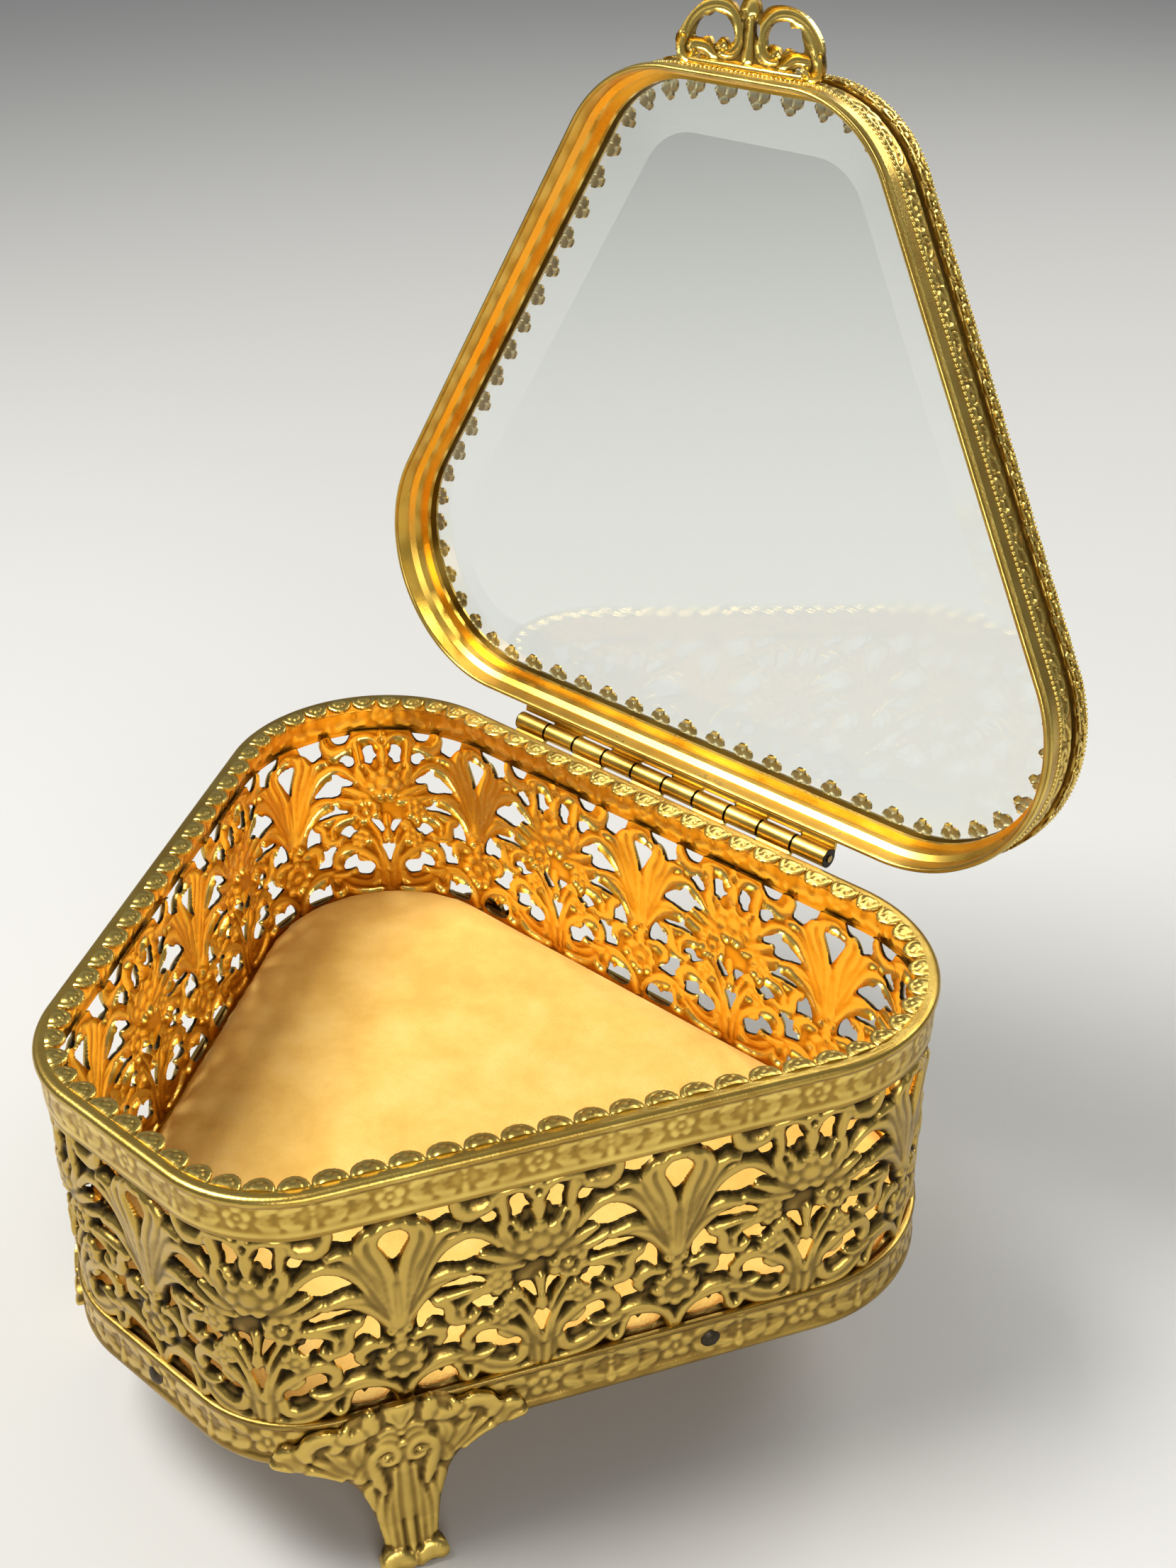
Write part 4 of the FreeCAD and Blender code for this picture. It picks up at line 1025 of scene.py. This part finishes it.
    # openings: pierced right through
    pierced_pairs = [
        [(2.7, -5.5), (3.1, -8.5), (4.6, -9.7), (5.8, -11.1), (7.2, -10.6), (8.0, -10.2), (7.7, -8.6),
         (7.8, -5.5)],
        [(10.0, -6.0), (10.6, -8.2), (12.0, -8.8), (13.3, -8.2), (13.9, -6.0)],
        [(11.3, -12.3), (12.6, -11.5), (14.0, -11.8), (14.4, -13.2), (13.8, -13.9), (12.8, -13.8),
         (12.2, -12.9)],
        [(16.2, -10.6), (17.1, -9.7), (18.1, -9.8), (18.4, -11.0), (19.0, -12.2), (18.2, -12.9),
         (17.8, -13.8),
         (16.6, -13.6), (16.5, -12.3)],
        [(5.5, -18.8), (6.7, -17.3), (8.2, -16.1), (9.3, -15.8), (9.7, -15.1), (10.7, -15.2), (11.6, -15.9),
         (13.0, -16.9), (13.9, -17.9), (12.8, -18.2), (11.8, -18.3), (11.0, -19.5), (9.4, -19.8),
         (7.6, -19.3)],
        [(5.8, -23.8), (6.5, -23.1), (8.0, -22.8), (9.3, -22.5), (9.9, -21.8), (10.4, -22.5), (11.1, -22.9),
         (12.2, -23.3), (12.0, -24.1), (10.2, -24.0), (8.0, -24.0)],
        [(2.5, -28.4), (2.8, -26.8), (3.6, -25.4), (4.3, -25.0), (5.0, -26.3), (6.1, -27.1), (6.1, -28.9),
         (4.9, -28.7), (3.8, -29.1), (2.8, -29.8)],
        [(10.3, -28.0), (11.0, -27.1), (12.2, -26.6), (12.9, -27.0), (13.3, -27.8), (14.3, -28.1),
         (13.7, -29.0),
         (12.5, -29.6), (11.4, -29.1), (10.8, -28.6)],
        [(17.0, -26.4), (18.6, -26.3), (19.3, -27.6), (19.5, -29.2), (19.0, -29.3), (18.2, -28.2)],
        [(6.6, -31.2), (8.0, -30.9), (9.3, -31.1), (9.1, -32.3), (8.3, -33.6), (8.1, -34.9), (6.0, -34.8),
         (4.7, -34.4), (5.4, -33.8), (6.3, -33.1), (6.6, -32.2)],
        [(10.7, -34.6), (11.8, -33.7), (13.4, -33.6), (13.7, -34.9), (14.8, -35.7), (16.4, -36.0),
         (17.1, -37.2),
         (16.5, -38.2), (15.2, -38.4), (13.7, -37.9), (13.3, -36.8), (12.0, -36.6), (10.7, -36.3)],
        [(2.0, -41.4), (2.0, -40.2), (3.0, -39.1), (4.6, -38.8), (5.5, -39.6), (6.0, -38.9), (7.2, -39.0),
         (7.6, -40.2), (7.5, -41.6), (5.5, -42.2), (3.2, -42.2)],
    ]
    for outline in pierced_pairs:
        for line in four(outline):
            die.opening(line)
    for line in four([(0.0, -10.2), (1.5, -10.6), (2.1, -11.8), (1.3, -13.7), (0.5, -15.4), (0.0, -16.1),
                      (-0.5, -15.4), (-1.3, -13.7), (-2.1, -11.8), (-1.5, -10.6)])[::2]:
        die.opening(line)
    die.opening([(half - 1.3, -32.5), (half, -31.9), (half + 1.3, -32.5), (half + 0.7, -34.5),
                 (half, -36.4), (half - 0.7, -34.5)])
    die.soften(1)
    die.height -= 0.28 * np.exp(-np.clip(die.cover, 0, None) / 0.3)
    return die


filigree_die = draw_filigree()


def on_wall(u, v, height):
    along = motif_shift + u * motif_pitch / drawn_pitch
    return on_base(along, rim_top + v, wall_face + height)


groups = [(0, 2), (2, 4), (4, 6), (6, 8), (8, 10)]
for number, (first, last) in enumerate(groups):
    copies = [drawn_pitch * k for k in range(first, last)]
    piece = stamped_piece("filigree_wall_%d" % (number + 1), filigree_die, on_wall, wall_sheet, "base",
                          [antique_brass, lacquered_brass], copies=copies)
    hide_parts("filigree_wall")

# ==================================================================================================
# Hinge.
# A barrel hinge of bright drawn brass: ten knuckles, five on each leaf, on one pin that runs right through.
# The leaves are soldered to the backs of rim and lid. Knuckles and pin keep the frame's shapes.
# ==================================================================================================
# drawn brass, never coated: the brightest metal here, with streaks along the barrel
drawn_brass = brushed_metal("drawn_brass_hinge", "a87e28", "f0cc66", 0.25, stretch=(1.0, 8.0, 8.0))
hinge = frame["joints"][0]
hinge_axis = np.array(hinge["pos_m"])
open_angle = math.radians(-max(hinge["range_deg"]))

# the gaps between the knuckles are 0.15 mm, too fine to show, so their dark lines are drawn 0.5 mm wide
knuckle_count, seam_width, barrel_reach = 10, 0.5 * MM, 1.75 * MM
base_leaf, lid_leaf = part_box("hinge_base_leaf"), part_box("hinge_lid_leaf")
barrel_left = min(base_leaf[0].x, lid_leaf[0].x)
half_knuckle = (max(base_leaf[1].x, lid_leaf[1].x) - barrel_left) / knuckle_count / 2
tree = drawn_brass.node_tree
shader = next(node for node in tree.nodes if node.type == "BSDF_PRINCIPLED")
place = add(tree, "ShaderNodeTexCoord").outputs["Object"]
across = add(tree, "ShaderNodeSeparateXYZ", links={0: place}).outputs[0]
from_left = add(tree, "ShaderNodeMath", {"operation": "SUBTRACT", 1: barrel_left}, {0: across})
to_seam = add(tree, "ShaderNodeMath", {"operation": "PINGPONG", 1: half_knuckle},
              {0: from_left.outputs[0]})
near_seam = add(tree, "ShaderNodeMapRange", {1: seam_width * 0.35, 2: seam_width * 0.65, 3: 1.0, 4: 0.0},
                {0: to_seam.outputs[0]})
end_on = add(tree, "ShaderNodeVectorMath", {"operation": "MULTIPLY", 1: (0.0, 1.0, 1.0)}, {0: place})
from_axis = add(tree, "ShaderNodeVectorMath",
                {"operation": "DISTANCE", 1: (0.0, hinge_axis[1], hinge_axis[2])}, {0: end_on.outputs[0]})
on_barrel = add(tree, "ShaderNodeMath", {"operation": "LESS_THAN", 1: barrel_reach},
                {0: from_axis.outputs["Value"]})
seam = add(tree, "ShaderNodeMath", {"operation": "MULTIPLY"},
           {0: near_seam.outputs[0], 1: on_barrel.outputs[0]})
seamed = add(tree, "ShaderNodeMixRGB", {"Color2": linear("1c1206")},
             {"Fac": seam.outputs[0], "Color1": shader.inputs["Base Color"].links[0].from_socket})
tree.links.new(seamed.outputs[0], shader.inputs["Base Color"])
finish_nodes(drawn_brass, "hinge_base_leaf", "hinge_lid_leaf")
finish_nodes(brushed_metal("drawn_brass_pin", "8c6f36", "d2b36a", 0.3, stretch=(1.0, 8.0, 8.0)), "hinge_pin")


def opened(points):
    """Turns points of the shut lid about the hinge, to where they are with the lid standing open."""
    turned = points - hinge_axis
    c, s = math.cos(open_angle), math.sin(open_angle)
    y, z = turned[..., 1].copy(), turned[..., 2].copy()
    turned[..., 1] = c * y - s * z
    turned[..., 2] = s * y + c * z
    return turned + hinge_axis


# the lid's leaf is bent from one sheet: its root runs along the whole barrel, just clear of the knuckles
half_length = (lid_leaf[1].x - lid_leaf[0].x) / 2
root_line = np.array([(-2.85, 3.0), (-2.82, 1.9), (-2.6, 1.5), (-2.2, 1.33), (-1.5, 1.27)]) * MM
root_points = [(x, hinge_axis[1] + y, hinge_axis[2] + z)
               for x in (-half_length, half_length) for y, z in root_line]
count = len(root_line)
root_faces = [(k, k + 1, k + 1 + count, k + count) for k in range(count - 1)]
root = mesh_object("hinge_lid_leaf_root", opened(np.array(root_points)), root_faces, "lid",
                   materials=[drawn_brass])
thicker = root.modifiers.new("sheet", "SOLIDIFY")
thicker.thickness = 0.35 * MM
thicker.offset = 0.0
eased = root.modifiers.new("eased", "BEVEL")
eased.width = 0.08 * MM
eased.segments = 2
pick(root)
for modifier in ("sheet", "eased"):
    bpy.ops.object.modifier_apply(modifier=modifier)
smooth(root, 40)

# ==================================================================================================
# Lid frame.
# The lid's outer wall, a stamped strip like the bands: a rounded edge that meets the rim, brushed plain
# metal, a beaded line, and running scrolls. It is drawn shut and then turned to stand open.
# ==================================================================================================
lid_bottom = rim_top + 0.3


def on_lid(along, height, offset):
    """As on_base, for the lid."""
    return opened(on_base(along, height, offset))


scroll_count = 30
scroll_pitch = round_the_rim / scroll_count


def draw_scrolls(die, low, high, level=0.04, crown=0.2):
    """A running stem with leaves curling off it to both sides, and a rosette in each repeat."""
    p, tall = scroll_pitch, high - low
    wave = [(-0.1 * p, low + 0.2 * tall), (0.12 * p, low + 0.12 * tall), (0.35 * p, low + 0.45 * tall),
            (0.5 * p, low + 0.85 * tall), (0.65 * p, low + 0.85 * tall), (0.85 * p, low + 0.4 * tall),
            (1.1 * p, low + 0.12 * tall)]
    die.leaf(wave, [0.22, 0.3, 0.36, 0.3, 0.36, 0.3, 0.22], level=level, crown=crown)
    curls = [
        [(0.3, 0.4), (0.24, 0.75), (0.13, 0.85), (0.08, 0.6)],
        [(0.42, 0.6), (0.36, 0.25), (0.5, 0.12), (0.56, 0.4)],
        [(0.74, 0.7), (0.66, 0.3), (0.75, 0.1), (0.84, 0.2)],
        [(0.86, 0.4), (0.86, 0.75), (0.96, 0.85), (1.02, 0.6)],
        [(0.18, 0.2), (0.28, 0.08), (0.38, 0.12)], [(0.6, 0.8), (0.72, 0.95), (0.8, 0.8)],
    ]
    for curl in curls:
        die.leaf([(x * p, low + y * tall) for x, y in curl], [0.24, 0.4, 0.34, 0.2], level=level, crown=crown)
    for shift in (0, p):
        die.button(0.02 * p + shift, low + 0.5 * tall, 0.52, level=level + 0.12, crown=crown)


lid_face = -0.7
frame_inner = -1.5
frame_section = Section(
    [(frame_inner, lid_bottom + 0.45)] + arc((-1.08, lid_bottom + 0.5), (0.4, 0.5), 200, 345, 8)
    + [(-0.66, lid_bottom + 0.75), (lid_face, lid_bottom + 1.0), (lid_face, lid_bottom + 7.0),
       (-0.85, lid_bottom + 7.1)], 9)
frame_rows = np.concatenate([np.linspace(frame_section.low, 0.0, 9)[:-1], np.linspace(0.0, 3.0, 13)[:-1],
                             np.linspace(3.0, frame_section.high, 18)])
frame_die = Die((0.0, scroll_pitch), (frame_section.low, frame_section.high), 0.2, wrap=True, rows=frame_rows)
draw_scrolls(frame_die, 3.45, 5.9)
for height in (0.15, 0.5):
    frame_die.leaf([(-1.0, height), (scroll_pitch + 1, height)], [0.14, 0.14], level=0.05, crown=0.15)
frame_piece = swept_strip("lid_frame_stamping", frame_die, frame_section,
                          [(frame_inner, lid_bottom + 7.0), (frame_inner, lid_bottom + 0.6)], scroll_count,
                          on_lid, "lid", [gilt_brass, lacquered_brass])
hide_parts("lid_frame")


def bead_row(name, height, offset, pitch, radius, material):
    """Small round beads in a row along the lid's side."""
    bpy.ops.object.select_all(action="DESELECT")
    bpy.ops.mesh.primitive_ico_sphere_add(subdivisions=2, radius=radius * MM, location=(0, 0, 0))
    seed = bpy.context.object
    shape = np.array([v.co for v in seed.data.vertices])
    tris = np.array([list(face.vertices) for face in seed.data.polygons])
    bpy.data.objects.remove(seed)
    number = int(round(round_the_rim / pitch))
    along = np.arange(number) * round_the_rim / number
    centres = on_lid(along, np.full(number, float(height)), np.full(number, float(offset)))
    points = (centres[:, None] + shape[None]).reshape(-1, 3)
    faces = (tris[None] + (np.arange(number) * len(shape))[:, None, None]).reshape(-1, 3)
    piece = mesh_object(name, points, faces, "lid", materials=[material])


bead_row("lid_frame_beads", lid_bottom + 3.85, lid_face - 0.05, 0.8, 0.34, gilt_brass)

# ==================================================================================================
# Lid liner.
# A stepped strip of lacquered brass inside the frame. Its ledge carries the glass. The shape is the
# frame's own and gets the orange-gold lacquer.
# ==================================================================================================
# brass strip under clear orange lacquer: glossy, deep gold
finish_nodes(brushed_metal("orange_lacquered_liner", "eeb038", "ffd766", 0.22, line_mm=0.5), "lid_liner")

# ==================================================================================================
# Glass.
# One clear pane with a wide bevel ground into its upper face, dropped in from above and held by the
# bezel's tabs. Its shape is the frame's own.
# ==================================================================================================
# polished plate glass: clear and faintly green, with a haze of smears from handling
smear_mm = 16.7
glass, tree, shader = new_material("clear_bevelled_glass")
place = add(tree, "ShaderNodeTexCoord").outputs["Object"]
smears = add(tree, "ShaderNodeTexNoise", {"Scale": 1 / (smear_mm * MM), "Detail": 6.0, "Distortion": 0.6},
             {"Vector": place})
haze = add(tree, "ShaderNodeMapRange", {1: 0.45, 2: 0.8, 3: 0.0, 4: 0.09}, {0: smears.outputs[0]})
tree.links.new(haze.outputs[0], shader.inputs["Roughness"])
shader.inputs["Base Color"].default_value = linear("f6faf7")
shader.inputs["Transmission Weight"].default_value = 1.0
shader.inputs["IOR"].default_value = 1.5
finish_nodes(glass, "lid_glass")

# ==================================================================================================
# Bezel.
# The strip that closes the lid: a scrolled skirt over a dark groove, a wavy beaded crest, and a flange
# that slopes down to the glass. It is pressed over the frame.
# ==================================================================================================
bezel_bottom = lid_bottom + 7.8
bezel_face = -0.12
bezel_section = Section(
    [(-0.9, bezel_bottom), (-0.3, bezel_bottom - 0.02), (bezel_face, bezel_bottom + 0.12),
     (bezel_face, bezel_bottom + 2.35)]
    + arc((-0.62, bezel_bottom + 2.45), (0.5, 0.55), 0, 80, 6) + [(-3.25, bezel_bottom + 2.1)], 2)
bezel_die = Die((0.0, scroll_pitch), (bezel_section.low, bezel_section.high), 0.2, wrap=True)
draw_scrolls(bezel_die, 0.1, 2.1)
crest_wave = 0.16 * np.cos(4 * math.pi * bezel_die.u / scroll_pitch)
bezel_die.height += crest_wave * np.exp(-((bezel_die.v - 2.9) / 0.5) ** 2)
bezel_die.height -= 0.12 * np.exp(-((bezel_die.v - 4.2) / 0.3) ** 2)
bezel = swept_strip("lid_bezel_stamping", bezel_die, bezel_section,
                    [(-3.25, bezel_bottom + 1.5), (-1.3, bezel_bottom + 1.5), (-1.3, bezel_bottom + 0.1)],
                    scroll_count, on_lid, "lid", [gilt_brass, gilt_brass])
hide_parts("lid_bezel")
bead_row("lid_bezel_beads", bezel_bottom + 2.5, -0.14, 0.72, 0.27, gilt_brass)

# ==================================================================================================
# Trefoil tabs.
# Sixty-seven three-lobed tabs on the edge of the flange, pressed down over the glass to hold the pane.
# They are stamped with the bezel and each lobe is domed.
# ==================================================================================================
trefoil_count = 67
trefoil_pitch = round_the_rim / trefoil_count
trefoil_die = Die((-2.2, 2.2), (-0.6, 3.1), 0.21)
lobes = [(0.0, 1.95, 0.95), (0.95, 0.95, 0.98), (-0.95, 0.95, 0.98), (0.0, 0.1, 1.0), (0.0, 1.0, 0.9)]
inside = [radius - np.hypot(trefoil_die.u - x, trefoil_die.v - y) for x, y, radius in lobes]
trefoil_die.cover = np.max(inside, axis=0)
for x, y, radius in lobes[:3]:
    trefoil_die.button(x, y, radius, level=0.05, crown=0.3)
trefoil_die.groove([(0.0, -0.2), (0.0, 1.7)], 0.2, 0.12)
trefoil_section = Section([(-2.8, bezel_bottom + 2.12), (-3.3, bezel_bottom + 2.02),
                           (-6.4, bezel_bottom + 1.45)], 1)


def on_flange(u, v, height):
    offset, level = trefoil_section.at(v, height)
    return on_lid(u, level, offset)


# the backs lie against the glass: their pale brass colour is painted light, standing in for the light that
# the pane's shadow keeps off them
tab_back_painted_light = brushed_metal("bare_brass_tab_backs", "e6d694", "fff4cc", 0.4)
trefoils = stamped_piece("lid_trefoil_tabs", trefoil_die, on_flange, 0.35, "lid", [gilt_brass, tab_back_painted_light],
                         copies=[trefoil_pitch * k for k in range(trefoil_count)])

# ==================================================================================================
# Crown handle.
# An openwork thumb piece stamped in brass: two C-scrolls with leaf edges, volutes at their feet and a bud
# between them. Its strip is soldered to the front of the lid.
# ==================================================================================================
crown_die = Die((-13.6, 13.6), (-0.4, 11.2), 0.15)
half_outline = [(0.0, 10.9), (1.2, 10.5), (1.75, 9.4), (1.9, 8.7), (3.2, 9.9), (5.2, 10.4), (7.6, 10.0),
                (9.8, 8.7), (11.6, 6.8), (12.8, 4.6), (13.2, 2.4), (12.7, 0.6), (11.4, -0.1), (9.9, -0.2),
                (0.0, -0.3)]
crown_outline = half_outline[:-1] + [(-x, y) for x, y in reversed(half_outline[1:-1])]
crown_die.opening(crown_outline, keep_inside=True)
loop_hole = [(9.9, 4.3), (9.5, 6.0), (8.6, 7.4), (7.4, 7.4), (6.6, 8.2), (5.2, 8.0), (4.0, 7.6), (3.0, 6.3),
             (2.7, 4.9), (3.2, 3.9), (4.2, 4.7), (5.2, 4.3), (6.0, 3.4), (7.0, 4.5), (8.4, 4.1)]
for side in (1, -1):
    crown_die.opening([(side * x, y) for x, y in loop_hole])
    crown_die.opening([(side * x, y) for x, y in [(8.3, 1.5), (9.3, 1.9), (9.7, 1.2), (8.8, 0.8)]])
    crown_die.opening([(side * x, y) for x, y in [(0.9, 6.6), (1.3, 7.7), (1.6, 6.6), (1.3, 4.6)]])

    def scroll(points, widths, **more):
        crown_die.leaf([(side * x, y) for x, y in points], widths, level=0.2, crown=0.75, **more)

    scroll([(12.2, 3.0), (11.4, 6.0), (9.4, 8.2), (6.6, 9.2), (3.9, 8.7), (2.2, 6.6), (2.1, 4.2), (3.2, 2.6),
            (4.8, 2.3)], [0.8, 1.2, 1.35, 1.3, 1.1, 0.9, 0.9, 1.1, 0.7], vein=0.35)
    scroll([(12.3, 3.6), (12.3, 1.4), (10.9, 0.6), (9.9, 1.6), (10.6, 2.6)], [0.7, 0.9, 0.85, 0.75, 0.5])
    scroll([(10.2, 3.0), (8.0, 2.9), (6.6, 2.0), (5.6, 1.2)], [0.8, 0.9, 0.8, 0.5], vein=0.3)
    scroll([(4.2, 3.2), (4.8, 3.9), (5.4, 3.2)], [0.5, 0.6, 0.4])
crown_die.leaf([(0.0, 10.2), (0.0, 9.0), (0.0, 8.0)], [1.0, 1.45, 0.7], level=0.3, crown=0.7)
crown_die.leaf([(0.0, 7.8), (0.0, 4.6), (0.0, 1.0)], [0.6, 0.75, 1.0], level=0.3, crown=0.6)
crown_die.leaf([(-9.5, 0.6), (9.5, 0.6)], [0.8, 0.8], level=0.1, crown=0.3)
crown_die.soften(1)
crown_die.height -= 0.3 * np.exp(-np.clip(crown_die.cover, 0, None) / 0.25)
front_y = plan_middle - plan_half_depth + 0.7
crown_reach = 10.0
drawn_reach = 10.9


def on_crown(u, v, height):
    """Flat, out from the front of the lid; the crests face the lid's top."""
    out = front_y - v * crown_reach / drawn_reach
    return opened(np.stack([u, out, lid_bottom + 6.0 + height - 0.2], -1) * MM)


crown_back = crown_die.height * 0.75 - 0.75
crown = stamped_piece("crown_handle_openwork", crown_die, on_crown, 0.7, "lid", [gilt_brass, gilt_brass],
                      back=crown_back)
crown.data.flip_normals()
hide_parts("crown_handle")

bpy.ops.object.select_all(action="DESELECT")
bpy.ops.mesh.primitive_cube_add(size=1.0, location=(0, 0, 0))
strip = bpy.context.object
strip.name = "crown_handle_strip"
strip.data.name = "crown_handle_strip"
corners_in = np.array([v.co for v in strip.data.vertices])
flat = np.stack([corners_in[:, 0] * 20.8, 0.15 + corners_in[:, 1] * 1.1 + 0.4, corners_in[:, 2] * 3.0], 1)
strip.data.vertices.foreach_set("co", on_crown(flat[:, 0], flat[:, 1], flat[:, 2]).ravel())
edge = strip.modifiers.new("eased", "BEVEL")
edge.width = 0.4 * MM
edge.segments = 3
pick(strip)
bpy.ops.object.modifier_apply(modifier=edge.name)
strip.data.materials.append(gilt_brass)
smooth(strip, 40)
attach(strip, "lid")

# ==================================================================================================
# Camera, floor and light.
# A seated viewer looks down at the front right corner. A plain pale board and three soft lights.
# ==================================================================================================
camera_data = bpy.data.cameras.new("camera")
camera = bpy.data.objects.new("camera", camera_data)
bpy.context.scene.collection.objects.link(camera)
unit = 2 * plan_half_depth * MM
aim = np.array([0.1281 * unit, 0.2022 * unit + plan_middle * MM, 0.2061 * unit + rim_top * MM])
azimuth, elevation, roll, reach = math.radians(41.94), math.radians(31.91), math.radians(-0.43), 2.4946 * unit
direction = np.array([math.sin(azimuth) * math.cos(elevation), -math.cos(azimuth) * math.cos(elevation),
                      math.sin(elevation)])
camera.location = aim + reach * direction
turned = Matrix.Rotation(azimuth, 3, "Z") @ Matrix.Rotation(math.pi / 2 - elevation, 3, "X")
camera.rotation_euler = (turned @ Matrix.Rotation(roll, 3, "Z")).to_euler()
camera_data.sensor_fit = "AUTO"
camera_data.sensor_width = 36.0
camera_data.lens = 43.75
camera_data.clip_start = 0.01
bpy.context.scene.camera = camera
bpy.context.scene.view_settings.view_transform = "Standard"

bpy.ops.mesh.primitive_plane_add(size=3.0, location=(0, 0, 0))
floor = bpy.context.object
floor.name = "floor"
# painted board: flat and pale, so that nothing in it competes with the box
floor_material, tree, shader = new_material("pale_painted_board")
shader.inputs["Base Color"].default_value = linear("c9c7c1")
shader.inputs["Roughness"].default_value = 0.6
floor.data.materials.append(floor_material)


def soft_light(name, place, target, size, power):
    data = bpy.data.lights.new(name, "AREA")
    data.shape = "RECTANGLE"
    data.size, data.size_y = size
    data.energy = power
    light = bpy.data.objects.new(name, data)
    bpy.context.scene.collection.objects.link(light)
    light.location = place
    away = np.array(place) - np.array(target)
    flat = math.hypot(away[0], away[1])
    light.rotation_euler = (math.atan2(flat, away[2]), 0, math.atan2(away[0], -away[1]))


soft_light("key", (-0.3, -0.25, 0.8), (0, 0, 0.06), (0.35, 0.35), 9.0)
soft_light("fill", (0.75, -0.5, 0.45), (0, 0, 0.06), (0.5, 0.4), 3.5)
soft_light("back", (0.15, 0.8, 0.7), (0, 0, 0.1), (0.8, 0.3), 5.0)
world = bpy.data.worlds.new("studio")
bpy.context.scene.world = world
world.use_nodes = True
world.node_tree.nodes["Background"].inputs[0].default_value = linear("c9ced6")
world.node_tree.nodes["Background"].inputs[1].default_value = 0.33
